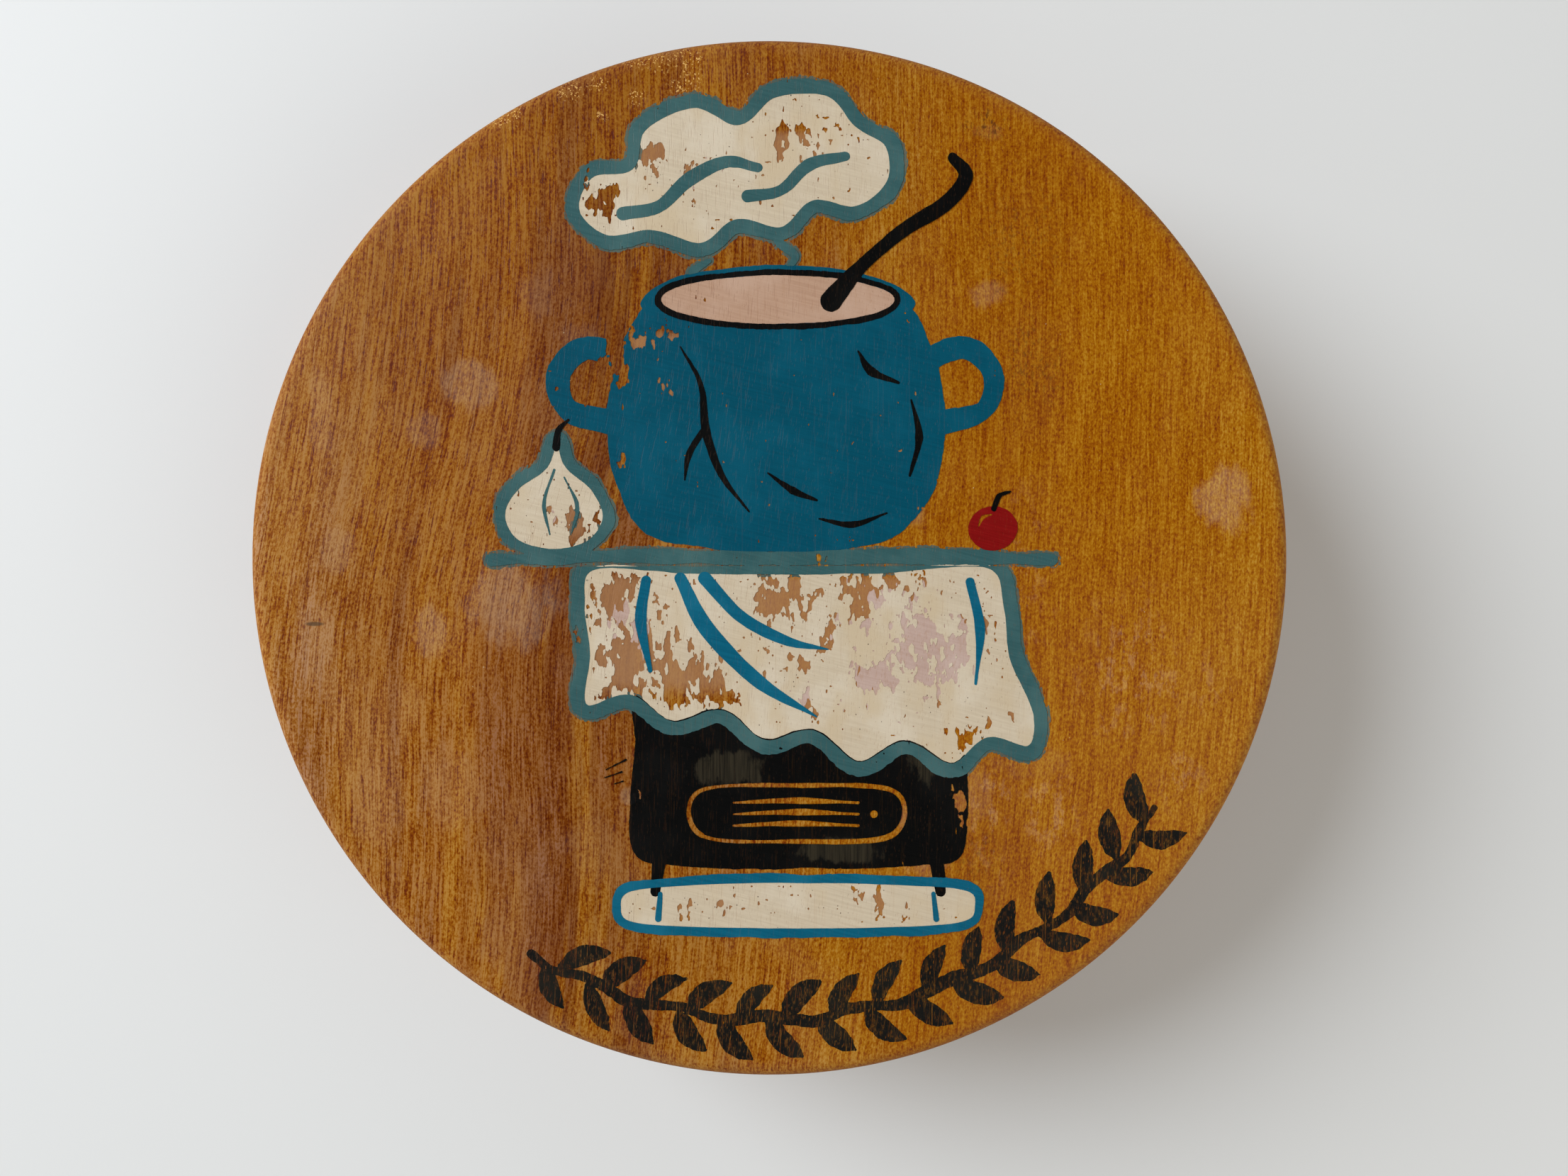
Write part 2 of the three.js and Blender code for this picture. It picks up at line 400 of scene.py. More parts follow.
    # Growth bands in three widths, fibres, and fine flecks. Each one (noise, weight on the right, weight on the left) adds to
    # the logarithm of the colour, blue most and red least: dark grain is redder, light grain yellower.
    band1 = t.noise(t.vmul(qb, (0.20, 0.010, 0.09)), detail=2.0, rough=0.6)
    band2 = t.noise(t.vmul(t.vadd(qb, (31.0, 7.0, 3.0)), (0.62, 0.026, 0.35)), detail=3.0, rough=0.60)
    band3 = t.noise(t.vmul(t.vadd(qb, (3.0, 47.0, 13.0)), (1.9, 0.060, 1.1)), detail=2.0, rough=0.62)
    thread = t.noise(t.vmul(q, (3.5, 0.12, 2.8)), detail=1.0, rough=0.75)
    fibre = t.noise(t.vmul(t.vadd(q, (7.0, 1.0, 6.0)), (2.5, 0.30, 2.0)), detail=2.0, rough=0.70)
    mottle = t.noise(t.vmul(t.vadd(q, (9.0, 2.0, 5.0)), (1.5, 0.70, 1.3)), detail=3.0, rough=0.95)
    fleck = t.noise(t.vmul(t.vadd(q, (2.0, 8.0, 1.0)), (3.6, 2.1, 3.0)), detail=1.0, rough=0.8)
    shade = None
    calm = t.sub(1.0, t.mul(end, 0.45))
    cloud_n = t.noise(t.vmul(t.vadd(p, (13.0, 4.0, 8.0)), (0.15, 0.075, 0.12)), detail=4.0, rough=0.62)
    for n, on_right, on_left in ((band1, 0.44, 0.90), (band2, 0.28, 0.26), (band3, 0.15, 0.06), (thread, 2.0, 3.6),
                                 (fibre, 0.9, 1.1), (mottle, 1.10, 0.75), (fleck, 2.7, 3.2), (cloud_n, 0.40, 0.70)):
        s = t.mul(t.sub(n, 0.5), t.mixf(leftness, on_right, on_left))
        if n in (thread, fibre, mottle, fleck):
            s = t.mul(s, calm)
        shade = s if shade is None else t.add(shade, s)
    rings = t.add(t.mul(t.sub(band2, 0.5), 0.9), t.mul(t.sub(band3, 0.5), 1.7))
    shade = t.add(shade, t.mul(rings, end))

    # Open pores: dense, thin, dark dashes along the grain, each with a painted highlight on the lip beside it.
    def vessels(shift, sx, sy, sz, reach):
        d = t.voronoi(t.vmul(t.vadd(q, shift), (sx, sy, sz)))
        return t.step(d, reach, reach * 0.55)

    long_p = vessels((11.3, 3.1, 5.7), 2.45, 0.15, 0.9, 0.25)
    long_q = vessels((61.3, 33.1, 2.7), 3.1, 0.30, 1.1, 0.27)
    short_p = vessels((51.3, 23.1, 1.7), 3.0, 0.90, 1.2, 0.27)
    lip_p = vessels((11.40, 3.1, 5.7), 2.45, 0.15, 0.9, 0.23)
    fade_n = t.noise(t.vmul(t.vadd(q, (1.0, 2.0, 3.0)), (0.9, 0.25, 0.8)), detail=1.0)
    fade = t.step(fade_n, 0.34, 0.56, 0.72, 1.0)
    pores = t.math("MAXIMUM", t.mul(long_p, t.mixf(leftness, 0.20, 1.0)), t.mul(long_q, t.mixf(leftness, 0.25, 0.85)))
    pores = t.mul(t.math("MAXIMUM", pores, t.mul(short_p, t.mixf(leftness, 0.80, 0.55))), fade)
    # Painted highlight: the lip beside each pore is made lighter in colour, as if lit from the left, more strongly on
    # the left of the board.
    lip_highlight = t.mul(t.mul(lip_p, t.sub(1.0, pores)), t.mixf(leftness, 0.05, 0.40))
    shade = t.add(shade, t.mul(pores, t.mixf(leftness, -0.42, -0.60)))
    shade = t.add(shade, lip_highlight)
    shade = t.math("MAXIMUM", t.math("MINIMUM", shade, 0.9), -1.3)
    shade = t.add(shade, t.mul(t.mul(shade, shade), t.mixf(leftness, -0.30, -0.50)))
    shade = t.add(shade, t.mixf(leftness, 0.0, 0.035))
    blues = t.add(t.mul(t.math("MINIMUM", shade, 0.0), 4.3), t.mul(t.math("MAXIMUM", shade, 0.0), t.mixf(leftness, 4.2, 2.8)))
    parts = [t.math("POWER", math.e, e) for e in (t.mul(shade, 0.46), t.mul(shade, 0.95), blues)]
    color = t.mix(1.0, color, t.combine(*parts), "MULTIPLY")
    # The lid's left side is deeper in tone above the middle and lighter below it.
    tilt = t.mul(t.mul(t.lerp(y0, 35.0, -25.0, -0.17, 0.17), leftness), face)
    color = t.mix(1.0, color, t.combine(*[t.math("POWER", math.e, t.mul(tilt, k)) for k in (0.62, 1.0, 2.4)]), "MULTIPLY")

    rag = t.noise(t.vmul(p, (0.40, 0.17, 0.4)), detail=5.0, rough=0.66)
    ragged = t.mul(t.sub(rag, 0.5), 1.9)

    # Under the paint the wood never had its lacquer: paler and pinker, seen where the paint has chipped.
    pale = None
    for xa, xb, ya, yb in ((-24.6, 31.4, -19.0, -2.6), (0.0, 35.0, -23.6, -18.4), (-20.0, 10.6, 48.8, 59.4), (-34.6, -25.6, 2.2, 9.6),
                           (-17.6, 26.0, -50.6, -46.4), (-19.4, 21.4, 4.6, 31.4)):
        s = t.mul(t.mul(t.step(x0, xa - 0.6, xa + 0.9), t.step(x0, xb + 0.6, xb - 0.9)),
                  t.mul(t.step(t.add(y0, ragged), ya - 0.8, ya + 2.2), t.step(y0, yb + 0.6, yb - 0.9)))
        pale = s if pale is None else t.math("MAXIMUM", pale, s)
    color = t.mix(t.mul(t.mul(pale, face), 0.72), color, (0.375, 0.185, 0.082))

    # Blushed lacquer: milky blotches laid over the wood, the grain still showing through.
    spots = None
    for cx, cy, rx, ry, amt in (
        (63.7, 8.4, 4.0, 4.7, 1.00),
        (-36.0, -6.5, 6.6, 6.0, 1.00),
        (-47.5, -10.0, 2.6, 3.8, 0.85),
        (-42.0, 24.0, 4.4, 3.4, 0.80),
        (-48.5, 17.5, 3.0, 2.6, 0.50),
        (-60.5, 1.5, 2.6, 3.6, 0.55),
        (-62.5, 20.0, 2.0, 7.0, 0.50),
        (-33.0, 37.0, 3.0, 4.0, 0.35),
        (-26.0, 30.0, 3.6, 3.0, 0.35),
        (22.0, -39.0, 4.0, 6.0, 0.80),
        (27.5, -33.0, 4.0, 5.0, 0.45),
        (36.0, -28.5, 6.5, 3.0, 0.25),
        (30.5, 59.5, 2.4, 1.2, 0.2),
        (30.4, 36.8, 2.6, 2.0, 0.55),
        (-63.0, -12.0, 3.0, 6.0, 0.45),
        (-55.0, -34.0, 4.0, 7.0, 0.40),
        (-44.0, -32.0, 5.0, 6.0, 0.35),
        (-19.3, -33.2, 1.5, 1.4, 0.9),
    ):
        s = t.mul(t.spot(x0, y0, cx, cy, rx, ry, ragged, 0.42), amt)
        spots = s if spots is None else t.math("MAXIMUM", spots, s)
    spots = t.mul(spots, face)
    veil_n = t.noise(t.vmul(t.vadd(p, (3.0, 8.0, 1.0)), (0.085, 0.06, 0.08)), detail=4.0, rough=0.6)
    lower = t.step(y0, 26.0, -12.0)
    veil = t.mul(t.step(t.add(veil_n, t.mul(t.sub(rag, 0.5), 0.22)), 0.50, 0.62), t.mul(t.mixf(leftness, 0.04, t.mixf(lower, 0.12, 0.25)), face))
    flake_n = t.noise(t.vmul(t.vadd(p, (6.0, 2.0, 9.0)), (0.62, 0.34, 0.5)), detail=4.0, rough=0.72)
    where = None
    for cx, cy, rx, ry, amt in ((50.5, -16.0, 7.5, 10.0, 1.0), (39.0, -35.5, 4.5, 6.0, 1.0), (31.0, -36.0, 4.0, 9.0, 0.9), (57.5, -31.0, 3.5, 4.5, 0.8),
                                (36.0, -2.0, 3.5, 12.0, 0.6), (62.0, -18.0, 3.0, 5.0, 0.6)):
        w = t.mul(t.spot(x0, y0, cx, cy, rx, ry, ragged, 0.9), amt)
        where = w if where is None else t.math("MAXIMUM", where, w)
    flakes = t.math("MAXIMUM", t.mul(t.step(flake_n, 0.490, 0.540), 0.26), t.step(flake_n, 0.548, 0.572))
    flakes = t.mul(flakes, where)
    low_right = t.mul(t.mul(t.step(y0, 8.0, -18.0), t.step(x0, 20.0, 34.0)), 0.10)
    veil = t.math("MAXIMUM", veil, t.mul(low_right, face))
    grit = t.noise(t.vmul(p, (1.3, 0.8, 1.2)), detail=3.0, rough=0.7)
    milky = t.mul(t.math("MAXIMUM", spots, veil), t.lerp(grit, 0.30, 0.70, 0.65, 1.25))
    milky = t.mul(milky, t.sub(1.0, t.mul(pores, 0.6)))
    color = t.mix(1.0, color, t.combine(t.mul(milky, 0.054), t.mul(milky, 0.060), t.mul(milky, 0.049)), "ADD")

    flakes = t.mul(t.mul(flakes, t.sub(1.0, t.mul(pores, 0.5))), face)
    color = t.mix(1.0, color, t.combine(t.mul(flakes, 0.086), t.mul(flakes, 0.071), t.mul(flakes, 0.042)), "ADD")

    # Lacquer rubbed right off: bare tan wood on rims, corners and hard-used boards, mixed with a painted highlight line
    # on the lid's roundover.
    rub = t.noise(t.vmul(t.vadd(q, (71.0, 5.0, 9.0)), (0.13, 0.05, 0.12)), detail=4.0, rough=0.62)
    rub = t.mul(t.step(rub, 0.56, 0.80), wear)
    radius = t.math("SQRT", t.add(t.mul(x0, x0), t.mul(y0, y0)))
    rim_n = t.noise(t.vmul(p, (0.60, 0.60, 0.7)), detail=5.0, rough=0.72)
    rim = t.mul(t.step(t.add(radius, t.mul(t.sub(rim_n, 0.5), 6.0)), 71.0, 73.6), t.mixf(flat, 0.06, 0.50))
    up = t.math("ABSOLUTE", normal[2])
    # Painted highlight: a thin pale line round the lid's roundover, stronger to the left, painted into the colour
    # together with the real wear.
    line = t.mul(t.mul(t.step(up, 0.66, 0.42), t.step(up, 0.05, 0.16)), t.step(radius, 70.5, 71.2))
    line = t.mul(t.mul(line, t.step(x0, 30.0, -20.0, 0.10, 0.80)), t.step(rim_n, 0.30, 0.46, 0.35, 1.0))
    wear_and_edge_highlight = t.math("MAXIMUM", rub, t.math("MAXIMUM", t.mul(rim, 0.62), line), clamp=True)
    grainy = t.add(0.75, t.mul(t.sub(thread, 0.5), 1.0))
    color = t.mix(t.mul(wear_and_edge_highlight, grainy, True), color, (0.460, 0.215, 0.066))

    # Grime: a column of fine dark specks right of the middle, and the smears beside the crater.
    speck = t.step(t.noise(t.vmul(t.vadd(p, (5.0, 9.0, 2.0)), (2.3, 1.5, 1.8)), detail=3.0, rough=0.70), 0.49, 0.66)
    stain = t.mul(t.spot(x0, y0, 36.8, 27.0, 4.2, 9.0, ragged, 0.8), 0.75)
    stain = t.math("MAXIMUM", stain, t.mul(t.spot(x0, y0, 34.0, 43.0, 7.0, 12.0, ragged, 0.9), 0.6))
    stain = t.math("MAXIMUM", stain, t.mul(t.spot(x0, y0, 30.5, 60.5, 3.6, 2.4, ragged, 0.7), 1.3))
    stain = t.math("MAXIMUM", stain, t.mul(t.spot(x0, y0, 28.0, -41.0, 5.0, 7.0, ragged, 0.9), 0.7))
    color = t.mix(t.mul(t.mul(t.mul(stain, speck), face), 0.62), color, (0.095, 0.032, 0.006))

    nick = t.spot(x0, y0, -63.4, -9.25, 1.35, 0.30, t.mul(ragged, 0.45), 0.5)
    color = t.mix(t.mul(t.mul(nick, face), 0.80), color, (0.085, 0.047, 0.022))

    # End grain drinks more lacquer and goes darker.
    ring_dots = t.step(t.noise(t.vmul(q, (3.4, 0.2, 3.4)), detail=1.0), 0.56, 0.68)
    color = t.mix(t.mul(end, 0.36), color, (0.190, 0.066, 0.009))
    color = t.mix(t.mul(t.mul(end, ring_dots), 0.30), color, (0.085, 0.027, 0.004))

    # Tiny bright crumbs caught in the lacquer.
    crumbs = t.step(t.voronoi(t.vmul(t.vadd(p, (2.0, 3.0, 1.0)), (0.62, 0.55, 0.6))), 0.050, 0.025)
    pick = t.step(t.noise(t.vmul(t.vadd(p, (8.0, 1.0, 4.0)), (0.09, 0.07, 0.1)), detail=2.0), 0.55, 0.64)
    color = t.mix(t.mul(t.mul(crumbs, pick), 0.7), color, (0.70, 0.58, 0.36))

    # Painted glints: small bright golden highlight specks painted into the colour, in clusters along the upper-left
    # rim.
    painted_glint = t.step(t.noise(t.vmul(t.vadd(p, (3.0, 7.0, 2.0)), (3.4, 2.8, 3.0)), detail=2.0, rough=0.6), 0.585, 0.64)
    where = None
    for cx, cy, rx, ry in ((-36.6, 61.6, 2.8, 1.7), (-27.6, 65.2, 2.2, 1.5), (-24.0, 65.9, 1.9, 1.4), (-18.8, 69.1, 2.2, 1.0), (-15.6, 69.2, 2.8, 1.5),
                           (-11.6, 69.6, 2.4, 1.8), (-11.0, 66.8, 1.8, 2.2), (-18.3, 64.2, 1.2, 1.2), (-23.3, 61.6, 1.2, 0.9), (-13.0, 65.8, 1.5, 1.2)):
        w = t.spot(x0, y0, cx, cy, rx, ry, ragged, 0.6)
        where = w if where is None else t.math("MAXIMUM", where, w)
    painted_glint = t.mul(t.mul(painted_glint, where), face)
    color = t.mix(t.mul(painted_glint, 0.95), color, (0.80, 0.47, 0.14))

    height = t.add(t.mul(pores, -0.030), t.mul(t.sub(thread, 0.5), 0.020))
    height = t.add(height, t.mul(lip_p, 0.006))
    height = t.sub(height, t.mul(wear_and_edge_highlight, 0.010))
    gloss_n = t.noise(t.vmul(p, (0.20, 0.12, 0.2)), detail=4.0, rough=0.6)
    rough = t.add(0.36, t.mul(t.sub(gloss_n, 0.5), 0.18))
    rough = t.add(rough, t.mul(t.math("MAXIMUM", wear_and_edge_highlight, spots, clamp=True), 0.20))
    rough = t.add(rough, t.mul(pores, 0.12))
    rough = t.add(rough, t.mul(t.mul(t.step(radius, 70.0, 71.2), t.step(up, 0.04, 0.30)), 0.26))
    t.put(go.inputs["Color"], color)
    t.put(go.inputs["Roughness"], rough)
    t.put(go.inputs["Height"], height)
    t.put(go.inputs["Pores"], pores)
    return g


WOOD = wood_group()


def start_material(name):
    m = bpy.data.materials.new(name)
    m.use_nodes = True
    m.node_tree.nodes.clear()
    t = Tree(m.node_tree)
    out = t.n.new("ShaderNodeOutputMaterial")
    b = t.n.new("ShaderNodeBsdfPrincipled")
    t.l.new(b.outputs[0], out.inputs[0])
    return m, t, b


def wood_inputs(t, offset, face, wear):
    g = t.n.new("ShaderNodeGroup")
    g.node_tree = WOOD
    g.inputs["Offset"].default_value = offset
    g.inputs["Face"].default_value = face
    g.inputs["Wear"].default_value = wear
    return g


def bump(t, b, height, strength=1.0):
    n = t.n.new("ShaderNodeBump")
    n.inputs["Strength"].default_value = strength
    n.inputs["Distance"].default_value = MM
    t.put(n.inputs["Height"], height)
    t.l.new(n.outputs[0], b.inputs["Normal"])


def wood_material(name, offset=(0, 0, 0), face=0.0, wear=0.0, greasy=0.0, bare=0.0):
    m, t, b = start_material(name)
    g = wood_inputs(t, offset, face, wear)
    color, rough, height = g.outputs["Color"], g.outputs["Roughness"], g.outputs["Height"]
    tc = t.n.new("ShaderNodeTexCoord")
    p = t.vmul(tc.outputs["Object"], (1000, 1000, 1000))
    if bare:
        color = t.mix(bare, color, (0.48, 0.27, 0.12))
        rough = t.add(rough, 0.22 * bare)
    if greasy:
        n = t.noise(t.vmul(p, (0.07, 0.05, 0.07)), detail=5.0, rough=0.62)
        stain = t.mul(t.step(n, 0.38, 0.76), greasy)
        color = t.mix(stain, color, (0.180, 0.075, 0.022))
        fine = t.step(t.noise(t.vmul(p, (0.9, 0.5, 0.9)), detail=4.0, rough=0.7), 0.58, 0.74)
        color = t.mix(t.mul(fine, 0.45 * greasy), color, (0.085, 0.036, 0.012))
    t.put(b.inputs["Base Color"], color)
    t.put(b.inputs["Roughness"], rough)
    b.inputs["Specular IOR Level"].default_value = 0.13
    bump(t, b, height, 0.5)
    return m


def paint_material(name, base, dark, light, thin=0.10, streak_turn=-14.0, gloss=0.42, pits=0.5, wood_show=0.0, yellow=None, spec=0.12, scuff=()):
    """Hand-brushed enamel over the wood: brush streaks, small pits, thin places where the wood shows, and the wood's pores printing through."""
    m, t, b = start_material(name)
    g = wood_inputs(t, (0, 0, 0), 1.0, 0.0)
    tc = t.n.new("ShaderNodeTexCoord")
    p = t.vmul(tc.outputs["Object"], (1000, 1000, 1000))
    x, y, z = t.separate(p)
    a = math.radians(streak_turn)
    along = t.add(t.mul(x, math.cos(a)), t.mul(y, math.sin(a)))
    across = t.sub(t.mul(y, math.cos(a)), t.mul(x, math.sin(a)))
    brush = t.noise(t.combine(t.mul(along, 0.10), t.mul(across, 3.0), 0.0), detail=3.0, rough=0.7)
    brush_fine = t.noise(t.combine(t.mul(along, 0.35), t.mul(across, 7.5), 4.0), detail=2.0, rough=0.6)
    cloud = t.noise(t.vmul(p, (0.13, 0.11, 0.1)), detail=4.0, rough=0.6)
    color = t.mix(t.step(brush, 0.30, 0.72), dark, base)
    color = t.mix(t.mul(t.step(cloud, 0.42, 0.70), 0.75), color, light)
    if yellow is not None:
        yn = t.noise(t.vmul(t.vadd(p, (40, 3, 0)), (0.16, 0.09, 0.1)), detail=3.0)
        color = t.mix(t.mul(t.step(yn, 0.46, 0.66), 0.8), color, yellow)
    thread = t.noise(t.vmul(t.vadd(p, (1, 2, 0)), (4.6, 0.12, 1.0)), detail=2.0)
    show = t.math("MAXIMUM", t.mul(g.outputs["Pores"], thin), t.mul(t.step(thread, 0.60, 0.74), thin * 0.7))
    if wood_show:
        patch = t.noise(t.vmul(t.vadd(p, (9, 4, 0)), (2.1, 0.75, 1.0)), detail=4.0, rough=0.75)
        show = t.math("MAXIMUM", show, t.step(patch, 0.50, 0.74, 0.0, wood_show))
    color = t.mix(show, color, g.outputs["Color"])
    pit = t.step(t.voronoi(t.vmul(t.vadd(p, (3, 1, 0)), (1.25, 0.95, 1.0))), 0.120, 0.055)
    pit = t.mul(pit, t.step(t.noise(t.vmul(p, (0.35, 0.35, 0.3)), detail=2.0), 0.46, 0.58))
    color = t.mix(t.mul(pit, pits), color, (0.060, 0.030, 0.016))
    if scuff:  # rubbed places: a thin greyish brown film, the grain showing through
        rag = t.mul(t.sub(t.noise(t.vmul(p, (0.55, 0.24, 0.5)), detail=5.0, rough=0.68), 0.5), 2.2)
        rubbed = None
        for cx, cy, rx, ry in scuff:
            s = t.spot(x, y, cx, cy, rx, ry, rag, 0.25)
            rubbed = s if rubbed is None else t.math("MAXIMUM", rubbed, s)
        color = t.mix(t.mul(rubbed, t.lerp(thread, 0.35, 0.65, 0.35, 1.0)), color, (0.034, 0.027, 0.016))
    t.put(b.inputs["Base Color"], color)
    r = t.add(gloss, t.mul(t.sub(brush_fine, 0.5), 0.22))
    r = t.add(r, t.mul(show, 0.15))
    t.put(b.inputs["Roughness"], r)
    b.inputs["Specular IOR Level"].default_value = spec
    h = t.add(t.mul(t.sub(brush, 0.5), 0.016), t.mul(t.sub(brush_fine, 0.5), 0.008))
    h = t.add(h, t.mul(g.outputs["Height"], 0.55))
    h = t.sub(h, t.mul(pit, 0.02))
    bump(t, b, h, 0.9)
    return m


def brass_material():
    m, t, b = start_material("aged_brass")
    tc = t.n.new("ShaderNodeTexCoord")
    p = t.vmul(tc.outputs["Object"], (1000, 1000, 1000))
    n = t.noise(p, scale=0.9, detail=5.0, rough=0.65)
    fine = t.noise(t.vmul(p, (9.0, 1.4, 9.0)), detail=3.0, rough=0.6)
    color = t.mix(t.step(n, 0.36, 0.66), (0.300, 0.195, 0.075), (0.560, 0.410, 0.185))
    tarnish = t.step(t.noise(t.vadd(p, (4, 5, 6)), scale=0.55, detail=4.0, rough=0.7), 0.50, 0.66)
    color = t.mix(t.mul(tarnish, 0.75), color, (0.085, 0.052, 0.026))
    t.put(b.inputs["Base Color"], color)
    b.inputs["Metallic"].default_value = 1.0
    t.put(b.inputs["Roughness"], t.add(t.add(0.30, t.mul(tarnish, 0.30)), t.mul(t.sub(fine, 0.5), 0.20)))
    bump(t, b, t.add(t.mul(t.sub(fine, 0.5), 0.02), t.mul(tarnish, -0.01)), 0.8)
    return m


M_LID = wood_material("lid_wood", (0, 0, 0), face=1.0, wear=0.10)
M_RING = wood_material("ring_wood", (140.0, 60.0, 33.0), face=0.0, wear=0.30)
M_BASE = wood_material("base_wood", (290.0, -75.0, -41.0), face=0.0, wear=0.34, greasy=0.14)
M_PLATE = wood_material("plate_wood", (410.0, 35.0, 77.0), face=0.0, wear=0.7, greasy=0.55, bare=0.45)
M_BRASS = brass_material()

# ------------------------------------------------------------------ boards
SEG = 288


def board_lid():
    seg, top = 432, LID_TOP
    wob = turned_wobble(0.10, 11)
    prof = [(0.0, LID_LOW)]
    prof += spans(0.0, PRESS_R - 1.1, LID_LOW, 9.0)
    prof += arc(PRESS_R - 1.1, LID_LOW + 1.1, 1.1, -90, 0, 6)
    prof += side(PRESS_R, LID_LOW + 1.1, top - EDGE_TOP, 5)
    prof += arc(PRESS_R - EDGE_TOP, top - EDGE_TOP, EDGE_TOP, 0, 90, 12)
    prof += spans(PRESS_R - EDGE_TOP, 0.0, top, 0.85)
    prof += [(0.0, top)]
    verts, rings = lathe_arrays(prof, seg, wob)
    v = np.array(verts)
    up = np.clip((v[:, 2] - (top - EDGE_TOP)) / EDGE_TOP, 0, 1)
    v[:, 2] += face_height(v[:, 0], v[:, 1]) * up
    obj = new_object("lid_wood", v, lathe_faces(rings, seg), 40)
    # finer mesh round the dents
    bm = bmesh.new()
    bm.from_mesh(obj.data)
    for _ in range(2):
        edges = set()
        for cx, cy, r, depth, lip in DENTS:
            for e in bm.edges:
                m = (e.verts[0].co + e.verts[1].co) / 2
                if m.z > (top - 1.2) * MM and math.hypot(m.x / MM - cx, m.y / MM - cy) < r * 2.0:
                    edges.add(e)
        bmesh.ops.subdivide_edges(bm, edges=list(edges), cuts=1, use_grid_fill=True)
    for w in bm.verts:
        if w.co.z > (top - 0.6) * MM:
            x, y = w.co.x / MM, w.co.y / MM
            if math.hypot(x, y) < PRESS_R - EDGE_TOP:
                w.co.z = (top + float(face_height(x, y))) * MM
    bm.normal_update()
    bm.to_mesh(obj.data)
    bm.free()
    resmooth(obj, 40)
    obj.data.materials.append(M_LID)
    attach(obj, "lid")
    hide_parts("lid_board")
    return obj


def countersink(name, x, y, z, head, shank, depth):
    """A cone that opens downwards, for a countersunk hole with a slightly torn mouth."""
    cone = (head - shank) / math.tan(math.radians(41))
    prof = [(0, z - 2), (head + 0.55, z - 2), (head + 0.30, z), (head + 0.12, z + 0.35),
            (shank + 0.30, z + 0.35 + cone), (shank + 0.30, z + depth), (0, z + depth)]
    verts, rings = lathe_arrays(prof, 56)
    v = np.array(verts) + (x, y, 0)
    return new_object(name, v, lathe_faces(rings, 56))


SCREW_SPOTS = [(math.cos(math.radians(a)), math.sin(math.radians(a))) for a in (45, 135, 225, 315)]


def board_base():
    prof = [(0.0, BASE_LOW)]
    prof += spans(0.0, PRESS_R - 2.0, BASE_LOW, 6.0)
    prof += arc(PRESS_R - 2.0, BASE_LOW + 2.0, 2.0, -90, 0, 9)
    prof += side(PRESS_R, BASE_LOW + 2.0, BASE_TOP - 1.1, 4)
    prof += arc(PRESS_R - 1.1, BASE_TOP - 1.1, 1.1, 0, 90, 6)
    prof += spans(PRESS_R - 1.1, 0.0, BASE_TOP, 6.0)
    prof += [(0.0, BASE_TOP)]
    verts, rings = lathe_arrays(prof, SEG, turned_wobble(0.12, 23))
    obj = new_object("base_wood", verts, lathe_faces(rings, SEG))
    cut(obj, [countersink("c", 63.5 * cx, 63.5 * cy, 0.0, 4.1, 2.1, 14.0) for cx, cy in SCREW_SPOTS])
    resmooth(obj, 32)
    obj.data.materials.clear()
    obj.data.materials.append(M_BASE)
    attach(obj, "base")
    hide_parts("base_board")


def board_ring():
    prof = [(WELL_R + 0.35, RING_LOW)]
    prof += spans(WELL_R + 0.35, PRESS_R - 1.1, RING_LOW, 5.0)
    prof += arc(PRESS_R - 1.1, RING_LOW + 1.1, 1.1, -90, 0, 6)
    prof += side(PRESS_R, RING_LOW + 1.1, RING_TOP - 1.1, 8)
    prof += arc(PRESS_R - 1.1, RING_TOP - 1.1, 1.1, 0, 90, 6)
    prof += spans(PRESS_R - 1.1, WELL_R + 1.4, RING_TOP, 3.0)
    prof += arc(WELL_R + 1.4, RING_TOP - 1.4, 1.4, 90, 180, 8)
    prof += side(WELL_R, RING_TOP - 1.4, RING_LOW + 0.35, 8)
    prof += [(WELL_R, RING_LOW + 0.35)]
    verts, rings = lathe_arrays(prof, SEG, turned_wobble(0.10, 37))
    obj = new_object("ring_wood", verts, lathe_faces(rings, SEG, closed=True), 40)
    obj.data.materials.append(M_RING)
    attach(obj, "base")
    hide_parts("well_ring")


def board_plate():
    prof = [(0.0, PLATE_LOW)]
    prof += spans(0.0, PLATE_R - 1.2, PLATE_LOW, 5.0)
    prof += arc(PLATE_R - 1.2, PLATE_LOW + 1.2, 1.2, -90, 0, 8)
    prof += side(PLATE_R, PLATE_LOW + 1.2, PLATE_TOP - 0.4, 3)
    prof += arc(PLATE_R - 0.4, PLATE_TOP - 0.4, 0.4, 0, 90, 3)
    prof += spans(PLATE_R - 0.4, 0.0, PLATE_TOP, 8.0)
    prof += [(0.0, PLATE_TOP)]
    verts, rings = lathe_arrays(prof, SEG, turned_wobble(0.12, 53))
    obj = new_object("plate_wood", verts, lathe_faces(rings, SEG))
    cut(obj, [countersink("c", 33.0 * cx, 33.0 * cy, PLATE_LOW, 3.4, 1.75, 9.0) for cx, cy in SCREW_SPOTS])
    resmooth(obj, 32)
    obj.data.materials.clear()
    obj.data.materials.append(M_PLATE)
    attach(obj, "lid")
    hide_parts("press_plate")


